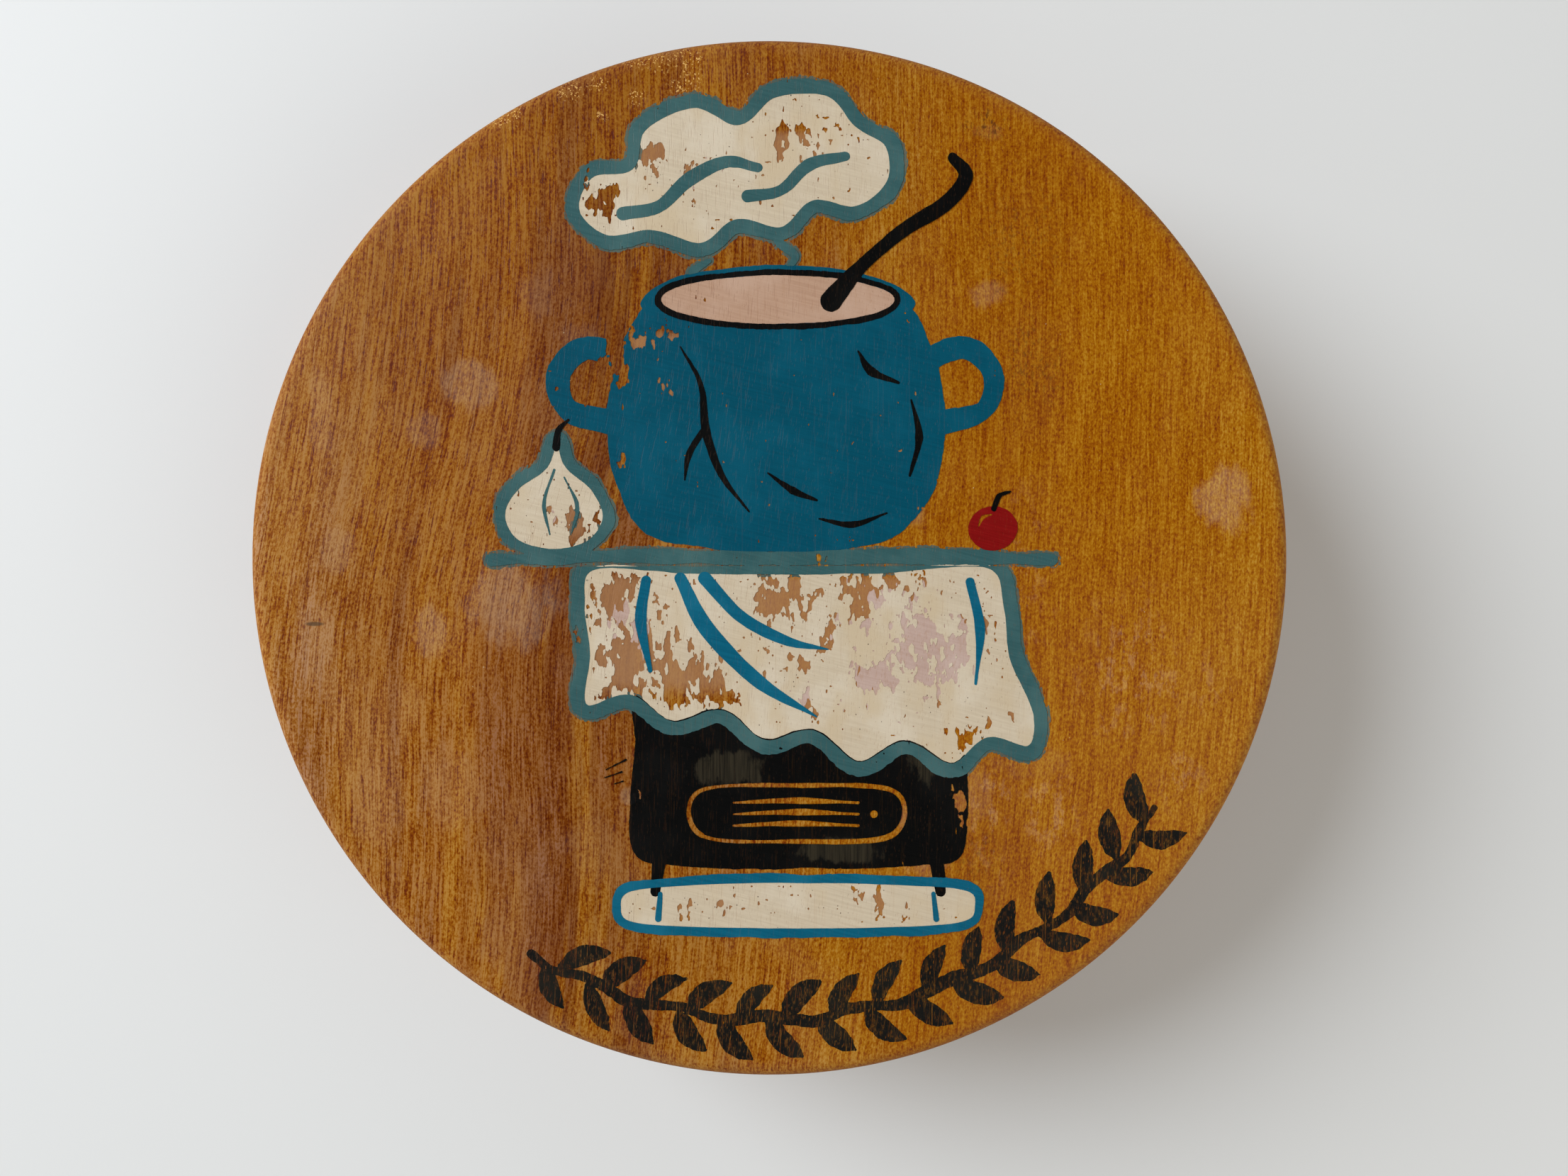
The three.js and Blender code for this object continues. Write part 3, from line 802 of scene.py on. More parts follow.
# ------------------------------------------------------------------ screws
def screw(node, body, head, shank, pitch, slot_w, turn):
    """A slotted countersunk wood screw, head down, with a cut thread and a gimlet point."""
    lo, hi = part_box(node)
    cx, cy = (lo.x + hi.x) / 2 / MM, (lo.y + hi.y) / 2 / MM
    z0, length = lo.z / MM, (hi.z - lo.z) / MM
    cone = (head - shank) / math.tan(math.radians(41))
    seg = 32
    prof = [(0.0, 0.03), (head * 0.5, 0.015), (head - 0.22, 0.0), (head - 0.05, 0.06), (head, 0.20), (head - 0.03, 0.35)]
    prof += [(head + (shank - head) * s, 0.35 + cone * s) for s in (0.35, 0.7, 1.0)]
    neck = 0.35 + cone + 1.2
    prof += [(shank, neck)]
    tip, n = 3.2, int((length - neck) / pitch * 10)
    rows = [(neck + (length - 0.15 - neck) * i / n) for i in range(1, n + 1)]
    verts, rings = lathe_arrays(prof, seg)
    for z in rows:
        taper = 1.0 if z < length - tip else max(0.06, (length - z) / tip)
        start = len(verts)
        fade = min(1.0, (z - neck) / (pitch * 0.8))
        for k in range(seg):
            ph = (z / pitch - k / seg) % 1.0
            crest = max(0.0, 1 - abs(ph - 0.5) / 0.28)
            r = shank * taper * (1 - 0.26 * fade) + shank * 0.26 * fade * crest * min(1.0, taper * 1.4)
            a = math.tau * k / seg
            verts.append((r * math.cos(a), r * math.sin(a), z))
        rings.append(list(range(start, start + seg)))
    rings.append([len(verts)])
    verts.append((0.0, 0.0, length))
    v = np.array(verts) + (cx, cy, z0)
    obj = new_object(node + "_turned", v, lathe_faces(rings, seg))
    c, s = math.cos(math.radians(turn)), math.sin(math.radians(turn))
    w, l, d = slot_w / 2, head * 1.4, 0.95
    box = []
    for dz in (-1.0, d):
        for a, b in ((-l, -w), (l, -w), (l, w * (0.92 if dz > 0 else 1.06)), (-l, w * (0.92 if dz > 0 else 1.06))):
            box.append((cx + a * c - b * s, cy + a * s + b * c, z0 + dz))
    slot = new_object("slot", box, [(0, 3, 2, 1), (4, 5, 6, 7), (0, 1, 5, 4), (1, 2, 6, 5), (2, 3, 7, 6), (3, 0, 4, 7)])
    cut(obj, [slot])
    resmooth(obj, 30)
    obj.data.materials.clear()
    obj.data.materials.append(M_BRASS)
    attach(obj, body)
    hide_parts(node)


# ------------------------------------------------------------------ painted picture: fields, outlines, films
H = 0.10  # spacing of the drawing's grid, mm


def grid(x0, x1, y0, y1, h=H):
    xs = np.arange(x0, x1 + h / 2, h)
    ys = np.arange(y0, y1 + h / 2, h)
    return np.meshgrid(xs, ys)


def vnoise(X, Y, cx, cy, seed, octaves=1, turn=0.0):
    """Smooth value noise, about -1 to 1, with cells of cx by cy mm."""
    c, s = math.cos(math.radians(turn)), math.sin(math.radians(turn))
    out, amp, total = np.zeros_like(X), 1.0, 0.0
    for o in range(octaves):
        rng = np.random.default_rng(seed * 97 + o)
        u, v = (X * c + Y * s) / cx * 2 ** o, (Y * c - X * s) / cy * 2 ** o
        u, v = u - math.floor(u.min()) + 1, v - math.floor(v.min()) + 1
        t = rng.uniform(-1, 1, (int(v.max()) + 3, int(u.max()) + 3))
        iu, iv = u.astype(int), v.astype(int)
        fu, fv = u - iu, v - iv
        fu, fv = fu * fu * (3 - 2 * fu), fv * fv * (3 - 2 * fv)
        a = t[iv, iu] * (1 - fu) + t[iv, iu + 1] * fu
        b = t[iv + 1, iu] * (1 - fu) + t[iv + 1, iu + 1] * fu
        out += amp * (a * (1 - fv) + b * fv)
        total += amp
        amp *= 0.55
    return out / total * 1.35


def spline(points, closed, n=10):
    """Catmull-Rom through the points."""
    p = np.array(points, float)
    if closed:
        q = np.vstack([p[-1], p, p[0], p[1]])
    else:
        q = np.vstack([2 * p[0] - p[1], p, 2 * p[-1] - p[-2]])
    out = []
    for i in range(1, len(q) - 2):
        for k in range(n):
            t = k / n
            a, b, c, d = q[i - 1], q[i], q[i + 1], q[i + 2]
            out.append(0.5 * (2 * b + (c - a) * t + (2 * a - 5 * b + 4 * c - d) * t * t + (3 * b - a - 3 * c + d) * t ** 3))
    if not closed:
        out.append(q[-2])
    return np.array(out)


def seg_dist(X, Y, a, b):
    ab = b - a
    L2 = max(float(ab @ ab), 1e-12)
    t = np.clip(((X - a[0]) * ab[0] + (Y - a[1]) * ab[1]) / L2, 0, 1)
    return np.hypot(X - (a[0] + t * ab[0]), Y - (a[1] + t * ab[1])), t


def stroke(X, Y, points, radii, closed=False, n=10, taper=None):
    """Signed distance (inside positive) of a brush stroke along a spline, its radius changing along it."""
    line = spline(points, closed, n)
    if closed:
        line = np.vstack([line, line[0]])
    rr = np.interp(np.linspace(0, 1, len(line)), np.linspace(0, 1, len(radii)), radii)
    out = np.full(X.shape, -99.0)
    pad = max(radii) + 2.0
    for i in range(len(line) - 1):
        a, b = line[i], line[i + 1]
        x0, x1 = min(a[0], b[0]) - pad, max(a[0], b[0]) + pad
        y0, y1 = min(a[1], b[1]) - pad, max(a[1], b[1]) + pad
        ix0, ix1 = np.searchsorted(X[0], [x0, x1])
        iy0, iy1 = np.searchsorted(Y[:, 0], [y0, y1])
        if ix0 >= ix1 or iy0 >= iy1:
            continue
        s = (slice(iy0, iy1), slice(ix0, ix1))
        d, t = seg_dist(X[s], Y[s], a, b)
        out[s] = np.maximum(out[s], rr[i] + (rr[i + 1] - rr[i]) * t - d)
    return out


def fill(X, Y, points, n=10, smooth=True):
    """Signed distance (inside positive) of a closed outline."""
    P = spline(points, True, n) if smooth else np.array(points, float)
    h = 0.4
    xs = np.arange(X[0, 0] - h, X[0, -1] + 2 * h, h)
    ys = np.arange(Y[0, 0] - h, Y[-1, 0] + 2 * h, h)
    XX, YY = np.meshgrid(xs, ys)
    d = np.full(XX.shape, 1e9)
    inside = np.zeros(XX.shape, bool)
    for i in range(len(P)):
        a, b = P[i], P[(i + 1) % len(P)]
        dd, _ = seg_dist(XX, YY, a, b)
        d = np.minimum(d, dd)
        if a[1] != b[1]:
            c = ((a[1] > YY) != (b[1] > YY)) & (XX < (b[0] - a[0]) * (YY - a[1]) / (b[1] - a[1]) + a[0])
            inside ^= c
    sd = np.where(inside, d, -d)
    u, v = (X - xs[0]) / h, (Y - ys[0]) / h
    iu, iv = np.clip(u.astype(int), 0, len(xs) - 2), np.clip(v.astype(int), 0, len(ys) - 2)
    fu, fv = u - iu, v - iv
    return (sd[iv, iu] * (1 - fu) + sd[iv, iu + 1] * fu) * (1 - fv) + (sd[iv + 1, iu] * (1 - fu) + sd[iv + 1, iu + 1] * fu) * fv


def ellipse(cx, cy, rx, ry, turn=0.0, n=28, bulge=0.0):
    c, s = math.cos(math.radians(turn)), math.sin(math.radians(turn))
    out = []
    for k in range(n):
        a = math.tau * k / n
        x, y = rx * math.cos(a), ry * math.sin(a)
        out.append((cx + x * c - y * s, cy + x * s + y * c))
    return out


def contour_loops(F, x0, y0, h):
    """Closed loops of F = 0, F positive on the loop's left."""
    F = F.copy()
    F[0, :] = F[-1, :] = -1.0
    F[:, 0] = F[:, -1] = -1.0
    F[np.abs(F) < 1e-6] = -1e-6
    ny, nx = F.shape
    S = F > 0
    code = S[:-1, :-1] * 1 + S[:-1, 1:] * 2 + S[1:, 1:] * 4 + S[1:, :-1] * 8
    iy, ix = np.nonzero((code > 0) & (code < 15))
    # cell edges: 0 bottom, 1 right, 2 top, 3 left; segments with the inside on their left
    table = {
        1: [(0, 3)], 2: [(1, 0)], 3: [(1, 3)], 4: [(2, 1)], 6: [(2, 0)], 7: [(2, 3)],
        8: [(3, 2)], 9: [(0, 2)], 11: [(1, 2)], 12: [(3, 1)], 13: [(0, 1)], 14: [(3, 0)],
    }
    W = nx

    def edge_id(i, j, e):
        if e == 0:
            return 2 * (i * W + j)
        if e == 2:
            return 2 * ((i + 1) * W + j)
        if e == 3:
            return 2 * (i * W + j) + 1
        return 2 * (i * W + j + 1) + 1

    nxt = {}
    for i, j in zip(iy.tolist(), ix.tolist()):
        c = int(code[i, j])
        if c == 5 or c == 10:
            mid = (F[i, j] + F[i, j + 1] + F[i + 1, j] + F[i + 1, j + 1]) > 0
            if c == 5:
                segs = [(0, 1), (2, 3)] if mid else [(0, 3), (2, 1)]
            else:
                segs = [(3, 0), (1, 2)] if mid else [(1, 0), (3, 2)]
        else:
            segs = table[c]
        for a, b in segs:
            nxt[edge_id(i, j, b)] = edge_id(i, j, a)
    loops = []
    while nxt:
        start, cur = next(iter(nxt.items()))
        del nxt[start]
        ids = [start]
        while cur != start:
            ids.append(cur)
            cur = nxt.pop(cur)
        ids = np.array(ids)
        vert = ids % 2 == 1
        cell = ids // 2
        i, j = cell // W, cell % W
        fa = F[i, j]
        fb = np.where(vert, F[np.minimum(i + 1, ny - 1), j], F[i, np.minimum(j + 1, nx - 1)])
        t = np.clip(fa / (fa - fb), 0.06, 0.94)
        px = x0 + (j + np.where(vert, 0, t)) * h
        py = y0 + (i + np.where(vert, t, 0)) * h
        loops.append(np.column_stack([px, py]))
    return loops


def thin_loop(P, tol):
    for _ in range(4):
        if len(P) < 8:
            break
        keep = np.ones(len(P), bool)
        idx = np.arange(1, len(P) - 1, 2)
        a, b, c = P[idx - 1], P[idx], P[idx + 1]
        ac = c - a
        L = np.maximum(np.hypot(*ac.T), 1e-9)
        dev = np.abs(ac[:, 0] * (b - a)[:, 1] - ac[:, 1] * (b - a)[:, 0]) / L
        keep[idx[(dev < tol) & (L < 3.0)]] = False
        P = P[keep]
    return P


def area(P):
    x, y = P.T
    return 0.5 * float(np.sum(x * np.roll(y, -1) - np.roll(x, -1) * y))


def film(name, X, Y, F, thick, material, tol=0.014, least=0.02, inner=1.3):
    """Turns the region F > 0 into a thin closed film of paint that follows the lid's face."""
    h = float(X[0, 1] - X[0, 0])
    x0, y0 = float(X[0, 0]), float(Y[0, 0])
    loops = [thin_loop(P, tol) for P in contour_loops(F, x0, y0, h)]
    loops = [P for P in loops if len(P) >= 4 and abs(area(P)) > least]
    pts, edges = [], []
    for P in loops:
        s = len(pts)
        pts += [Vector((float(a), float(b))) for a, b in P]
        edges += [(s + k, s + (k + 1) % len(P)) for k in range(len(P))]
    n_edge = len(pts)
    gx, gy = np.meshgrid(np.arange(X[0, 0], X[0, -1], inner), np.arange(Y[0, 0], Y[-1, 0], inner))
    ji, jj = ((gy - y0) / h).astype(int), ((gx - x0) / h).astype(int)
    keep = np.ones(gx.shape, bool)
    for di in (-4, 0, 4):
        for dj in (-4, 0, 4):
            a = np.clip(ji + di, 0, F.shape[0] - 1)
            b = np.clip(jj + dj, 0, F.shape[1] - 1)
            keep &= F[a, b] > 0.0
    jit = np.random.default_rng(len(name))
    pts += [Vector((float(a + jit.uniform(-0.2, 0.2)), float(b + jit.uniform(-0.2, 0.2)))) for a, b in zip(gx[keep], gy[keep])]
    vco, ved, vfa, ov, oe, of_ = delaunay_2d_cdt(pts, edges, [], 0, 1e-6, True)
    fixed = set()
    for e, src in zip(ved, oe):
        if len(src):
            fixed.add((min(e), max(e)))
    by_edge = {}
    for fi, f in enumerate(vfa):
        for k in range(len(f)):
            a, b = f[k], f[(k + 1) % len(f)]
            by_edge.setdefault((min(a, b), max(a, b)), []).append(fi)
    parity = [-1] * len(vfa)
    stack = []
    for e, fs in by_edge.items():
        if len(fs) == 1 and parity[fs[0]] < 0:
            parity[fs[0]] = 1 if e in fixed else 0
            stack.append(fs[0])
    while stack:
        fi = stack.pop()
        f = vfa[fi]
        for k in range(len(f)):
            a, b = f[k], f[(k + 1) % len(f)]
            e = (min(a, b), max(a, b))
            for o in by_edge[e]:
                if parity[o] < 0:
                    parity[o] = parity[fi] ^ (1 if e in fixed else 0)
                    stack.append(o)
    V = np.array([(v.x, v.y) for v in vco])
    tris = []
    for fi, f in enumerate(vfa):
        if parity[fi] == 1:
            f = list(f)
            if area(V[f]) < 0:
                f.reverse()
            tris.append(f)
    used = sorted({i for f in tris for i in f})
    new = {o: k for k, o in enumerate(used)}
    V = V[used]
    tris = [[new[i] for i in f] for f in tris]
    n = len(V)
    base = LID_TOP + face_height(V[:, 0], V[:, 1])
    top = np.column_stack([V, base + thick])
    low = np.column_stack([V, base - 0.045])
    faces = list(tris) + [[i + n for i in reversed(f)] for f in tris]
    half = set()
    for f in tris:
        for k in range(len(f)):
            half.add((f[k], f[(k + 1) % len(f)]))
    for a, b in half:
        if (b, a) not in half:
            faces.append([a + n, b + n, b, a])
    obj = new_object(name, np.vstack([top, low]), faces)
    obj.data.materials.append(material)
    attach(obj, "lid")
    return obj


# ------------------------------------------------------------------ paints
PAINTS = {}
PAINTS["cream"] = paint_material("paint_cream", (0.645, 0.535, 0.385), (0.570, 0.462, 0.325), (0.690, 0.590, 0.450), thin=0.16,
                                 gloss=0.46, pits=0.85, yellow=(0.600, 0.470, 0.305), spec=0.16)
PAINTS["pink"] = paint_material("paint_pink", (0.515, 0.320, 0.215), (0.450, 0.268, 0.175), (0.555, 0.365, 0.262), thin=0.22, gloss=0.5, pits=0.35, spec=0.14)
PAINTS["undercoat"] = paint_material("paint_undercoat", (0.545, 0.385, 0.320), (0.480, 0.325, 0.265), (0.590, 0.440, 0.375), thin=0.30, gloss=0.6, pits=0.2,
                                     wood_show=0.35, spec=0.12)
PAINTS["teal"] = paint_material("paint_deep_teal", (0.0012, 0.078, 0.126), (0.0009, 0.065, 0.106), (0.0030, 0.092, 0.146), thin=0.05, gloss=0.42, pits=0.0, spec=0.07)
PAINTS["line"] = paint_material("paint_grey_teal", (0.042, 0.116, 0.120), (0.031, 0.094, 0.098), (0.066, 0.148, 0.146), thin=0.10, gloss=0.40, pits=0.1, spec=0.12)
PAINTS["wash"] = paint_material("paint_teal_wash", (0.075, 0.115, 0.098), (0.060, 0.096, 0.085), (0.110, 0.145, 0.115), thin=0.75, gloss=0.45, pits=0.0,
                                wood_show=0.85, spec=0.12)
PAINTS["blue"] = paint_material("paint_blue", (0.0040, 0.118, 0.195), (0.0025, 0.093, 0.158), (0.0100, 0.148, 0.236), thin=0.04, gloss=0.36, pits=0.0, spec=0.10)
PAINTS["black"] = paint_material("paint_black", (0.0024, 0.0024, 0.0023), (0.0018, 0.0018, 0.0017), (0.0052, 0.0050, 0.0046), thin=0.05, gloss=0.50, pits=0.0,
                                 spec=0.06, scuff=((-5.6, -29.4, 4.6, 2.6), (10.0, -41.0, 6.0, 1.6), (22.4, -27.0, 3.0, 4.2)))
PAINTS["border"] = paint_material("paint_thin_black", (0.0080, 0.0078, 0.0066), (0.0050, 0.0050, 0.0046), (0.0180, 0.0160, 0.0110), thin=0.55, gloss=0.48, pits=0.0,
                                  wood_show=0.34, spec=0.08)
PAINTS["red"] = paint_material("paint_red", (0.245, 0.0050, 0.0050), (0.190, 0.0030, 0.0030), (0.300, 0.0120, 0.0100), thin=0.05, gloss=0.36, pits=0.0, spec=0.12)


def gauss(X, Y, cx, cy, rx, ry):
    return np.exp(-(((X - cx) / rx) ** 2 + ((Y - cy) / ry) ** 2))


def picture_layers():
    """A stew pot steaming on a black stove, a towel over the rail, with a garlic bulb and a cherry tomato beside it.

    Each layer is (name, X, Y, field, thickness in mm, paint, material slot)."""
    X, Y = grid(-46, 46, -55, 69)
    wob = vnoise(X, Y, 5.0, 5.0, 1, 2) * 0.22 + vnoise(X, Y, 0.55, 0.55, 2, 2) * 0.06
    fine = vnoise(X, Y, 0.42, 0.9, 3, 2)

    def g(cx, cy, rx, ry):
        return gauss(X, Y, cx, cy, rx, ry)

    def s(points, radii, **k):
        return stroke(X, Y, points, radii, **k)

    # outlines, mm from the disc's centre
    cloud_pts = [(-23.0, 44.6), (-27.0, 48.4), (-25.0, 53.4), (-19.4, 54.6), (-17.6, 60.0), (-10.6, 63.2), (-4.2, 60.8),
                 (0.8, 64.6), (8.2, 64.8), (12.4, 60.4), (16.6, 57.6), (16.8, 52.2), (12.2, 48.6), (6.2, 49.4), (1.8, 45.6), (-4.6, 46.8),
                 (-9.4, 43.4), (-16.2, 45.2)]
    cloth_pts = [(-24.6, -1.2), (-12, -1.7), (2, -1.9), (16, -1.7), (30.6, -1.1), (33.2, -7.0), (34.0, -14.0), (37.2, -21.5),
                 (36.4, -26.6), (30.6, -25.6), (25.4, -29.2), (18.8, -26.2), (12.4, -29.0), (6.0, -24.6), (-0.6, -26.0),
                 (-6.6, -21.8), (-13.4, -23.4), (-19.4, -19.6), (-25.8, -20.8), (-25.6, -13.0), (-26.2, -6.6)]
    pot_pts = [(-16.4, 35.6), (-20.6, 29.0), (-22.6, 19.8), (-21.2, 9.8), (-16.6, 3.2), (-8.0, 1.2), (1.0, 0.8), (10.4, 1.2), (18.4, 3.4),
               (23.2, 10.0), (24.6, 19.8), (22.8, 29.0), (18.6, 35.6), (10.0, 33.6), (1.0, 32.9), (-8.0, 33.6)]
    rim_pts = [(-18.0, 35.4), (-13.6, 38.8), (-6.0, 40.4), (1.0, 40.8), (8.4, 40.4), (16.0, 38.8), (20.4, 35.4), (16.0, 32.8), (8.6, 31.2), (1.0, 30.8), (-6.4, 31.2), (-13.8, 32.8)]
    bulb_pts = [(-29.6, 16.2), (-28.3, 13.0), (-24.6, 9.6), (-22.9, 5.6), (-25.2, 2.0), (-30.0, 0.9), (-34.9, 2.0), (-37.2, 5.6), (-35.4, 9.6), (-31.2, 12.8)]
    stove_pts = [(-18.4, -19.0), (-18.8, -26.0), (-19.4, -34.0), (-18.6, -41.6), (-12.0, -43.0), (4, -43.4), (20.0, -43.0), (26.6, -41.8),
                 (27.6, -34.0), (27.2, -26.0), (26.6, -20.0), (14, -18.0), (2, -18.0), (-10, -18.0)]
    mat_pts = [(-19.6, -46.4), (-12.0, -45.5), (4.0, -45.1), (20.0, -45.5), (27.8, -46.3), (29.0, -48.6), (27.6, -50.9), (20.0, -51.7),
               (4.0, -52.0), (-12.0, -51.7), (-19.6, -51.0), (-21.0, -48.8)]

    cloud = fill(X, Y, cloud_pts) + wob
    cloth = fill(X, Y, cloth_pts) + wob
    pot = fill(X, Y, pot_pts) + wob
    rim = fill(X, Y, rim_pts) + wob * 0.7
    bulb = fill(X, Y, bulb_pts) + wob
    stove = fill(X, Y, stove_pts) + wob
    mat = fill(X, Y, mat_pts) + wob * 0.6
    soup = fill(X, Y, ellipse(1.2, 36.0, 16.4, 3.5)) + wob * 0.6
    handle_l = s([(-20.4, 27.8), (-25.6, 29.2), (-29.4, 25.6), (-28.0, 20.6), (-22.0, 18.8)], [1.7, 1.5, 1.55, 1.45, 1.7]) + wob
    handle_r = s([(22.0, 27.8), (27.4, 29.2), (31.2, 25.6), (30.0, 20.6), (24.0, 18.8)], [1.7, 1.5, 1.55, 1.45, 1.7]) + wob
    pots = np.maximum.reduce([pot, rim, handle_l, handle_r])
    shelf = s([(-38.6, -0.3), (-20.0, 0.2), (0.0, -0.1), (20.0, 0.2), (39.4, -0.3)], [0.85, 1.0, 0.9, 1.05, 0.8]) + wob * 0.6
    tomato = fill(X, Y, ellipse(31.2, 4.1, 3.5, 3.1)) + wob * 0.5
    shine = s([(29.2, 4.4), (29.8, 5.6), (31.0, 6.0)], [0.10, 0.30, 0.10])

    # where the paint has come away: flakes torn along the grain, and crumbs
    flake = vnoise(X, Y, 1.7, 3.3, 11, 3) * 0.62 + vnoise(X, Y, 0.62, 1.15, 12, 3) * 0.52 + fine * 0.12
    crumb = vnoise(X, Y, 0.50, 0.62, 14, 2)
    crumb_where = vnoise(X, Y, 4.2, 3.2, 15, 2)

    def left_of(start, lost, flakes=0.9, crumbs=0.0, rate=0.9):
        """Positive where paint is still there."""
        k = (start - lost - flake * flakes) * rate
        if crumbs:
            k = np.minimum(k, (crumbs - crumb + np.maximum(0, -crumb_where) * 0.5) * 0.45)
        return k

    lost = (1.12 * g(-18.5, -12.5, 6.6, 8.5) + 0.80 * g(-8, -18.5, 6.5, 3.8) + 0.98 * g(1.5, -5.0, 4.8, 5.4) + 0.90 * g(12.5, -6.4, 3.8, 5.2)
            + 0.86 * g(-22.5, -5, 3.2, 4) + 0.86 * g(19.5, -3.4, 5, 2.8) + 0.84 * g(27.5, -24, 4.8, 3.0) + 0.66 * g(31.0, -10, 2.2, 5) + 0.66 * g(5, -21.5, 4, 2.6)
            + 0.50 * g(5.0, -14.0, 4.0, 5.0) + 1.00 * g(-26.8, 4.6, 3.4, 3.0) + 0.56 * g(-10, 53, 9, 4) + 1.00 * g(-23.4, 49.4, 2.6, 3.2) + 0.74 * g(-17.5, 56.5, 4, 2.8)
            + 0.62 * g(4, 59, 7, 4) + 0.56 * g(-9, -48.5, 5, 2.6) + 0.60 * g(15, -48.5, 5, 2.6))
    pinked = 1.02 * g(22.6, -13.0, 5.0, 7.2) + 0.80 * g(14.0, -17.0, 3.8, 3.6) + 0.50 * g(27.0, -8.0, 2.4, 3.0)
    cream_keep = left_of(0.74, np.maximum(lost, pinked), 0.86, 0.84)
    creams = np.maximum.reduce([cloth, cloud, bulb, mat])
    out = []

    # the pinkish first coat, seen where the cream has flaked
    under_keep = (1.10 * g(20.2, -13.6, 10.4, 9.2) + 0.50 * g(-20, -9, 5, 4) + 0.42 * g(-9, 52, 9, 5) + 0.40 * g(5, -19, 7, 4) + 0.35 * g(-30, 6, 4, 4)
                  - 0.42 - vnoise(X, Y, 0.9, 2.6, 21, 3) * 0.34 - fine * 0.08)
    out.append(("undercoat", X, Y, np.minimum(creams - 0.3, under_keep), 0.020, "undercoat", "paint_cream"))
    cream = np.minimum.reduce([creams, cream_keep, -(pots - 0.3)])
    out.append(("cream_paint", X, Y, cream, 0.058, "cream", "paint_cream"))

    # the stove, black, with a door, scratched low on its right
    door = s([(-9.4, -38.8), (-9.8, -32.6), (3.6, -31.8), (17.4, -32.6), (17.0, -38.8), (3.8, -39.6)], [0.36, 0.26, 0.38, 0.26], closed=True) + wob * 0.5
    bars = np.maximum.reduce([s([(-5.0, yy), (3.6, yy + 0.3), (12.4, yy)], [0.18, 0.44, 0.16]) for yy in (-34.2, -35.8, -37.4)]) + wob * 0.4
    knob = 0.55 - np.hypot(X - 14.6, Y + 35.8)
    lost_black = 0.98 * g(26.6, -35.5, 2.2, 6.0) + 0.70 * g(-18.0, -26, 2.2, 3.0) + 0.60 * g(-4, -29.0, 3, 1.8) + 0.62 * g(21.5, -41.4, 4, 1.6) + 0.50 * g(9, -42.4, 5, 1.0)
    legs = np.maximum.reduce([s([(-15.4, -42.6), (-15.9, -46.6)], [1.0, 0.7]), s([(23.4, -42.6), (23.9, -46.6)], [1.0, 0.7])]) + wob * 0.4
    black = np.minimum.reduce([np.maximum(stove, legs), -(cloth - 0.6), left_of(1.0, lost_black, 0.72), -np.maximum.reduce([door, bars, knob])])
    out.append(("stove_black", X, Y, black, 0.064, "black", "paint_black"))

    # the pot, deep teal, with its rim and two handles
    lost_pot = (1.06 * g(-22.0, 27.5, 3.2, 6.5) + 0.80 * g(-14, 31.0, 6, 3.0) + 0.84 * g(-21.0, 13, 2.4, 7.0) + 0.55 * g(-15, 22, 5, 6) + 0.90 * g(22.4, 7.5, 2.8, 3.8) + 0.62 * g(18.6, 24, 2.8, 6.0)
                + 0.66 * g(-28.8, 24, 2.2, 4) + 0.42 * g(8, 3, 8, 2.4) + 0.46 * g(29.8, 26, 2.4, 4) + 0.34 * g(12, 38, 6, 2.6) + 0.30 * g(23, 18, 2, 6))
    teal = np.minimum.reduce([pots, left_of(0.98, lost_pot, 0.72, 1.02), -(soup - 0.1)])
    out.append(("pot_teal", X, Y, teal, 0.066, "teal", "paint_teal"))
    out.append(("stew_pink", X, Y, np.minimum(soup + 0.15, left_of(0.95, 0.5 * g(-9, 36, 4, 2), 0.72)), 0.060, "pink", "paint_cream"))

    # grey-teal outlines and folds, over a thin feathered wash of the same paint
    def edge(sd, w, shift):
        return w - np.abs(sd + shift)

    line = np.maximum.reduce([
        edge(cloud, 0.95, 0.50), np.minimum(edge(cloth, 0.98, 0.50), -1.2 - Y), edge(bulb, 0.80, 0.45), shelf,
        s([(-20.4, 48.0), (-15.4, 49.0), (-11.2, 52.8), (-6.0, 55.2), (-1.6, 54.4)], [0.95, 0.85, 1.0, 0.9, 0.7]),
        s([(-3.0, 50.4), (1.6, 51.2), (5.6, 54.8), (10.6, 56.0)], [0.9, 0.8, 0.95, 0.6]),
        s([(-8.4, 41.4), (-10.6, 39.8), (-9.4, 37.9), (-11.8, 36.6)], [0.35, 0.62, 0.55, 0.22]),
        s([(3.4, 46.8), (1.2, 44.4), (3.6, 42.0), (1.8, 39.6)], [0.40, 0.68, 0.60, 0.22]),
        s([(-30.0, 12.2), (-31.4, 7.6), (-30.6, 3.2)], [0.16, 0.28, 0.12]),
        s([(-28.6, 11.2), (-26.8, 7.2), (-27.6, 3.4)], [0.14, 0.26, 0.10]),
    ]) + wob * 0.5
    lost_line = 0.85 * g(-26.5, -10, 2.6, 7) + 0.66 * g(8, 0, 7, 2) + 0.70 * g(-24, 52, 4, 4) + 0.50 * g(34, -9, 3, 4) + 0.30 * g(-37, 8, 3, 4) + 0.22 * g(2, 64, 8, 3)
    line_keep = left_of(0.96, lost_line, 0.72, 1.05)
    wash_keep = (0.45 - flake * 0.8 - crumb * 0.4) * 0.9
    wash = np.minimum.reduce([line + 0.36 + fine * 0.17, wash_keep, -(pots - 0.1), -(np.maximum(cloud, cloth) - 0.9)])
    out.append(("outline_wash", X, Y, wash, 0.012, "wash", "paint_teal"))
    out.append(("outline_teal", X, Y, np.minimum.reduce([line, line_keep, -(pots - 0.1)]), 0.084, "line", "paint_teal"))

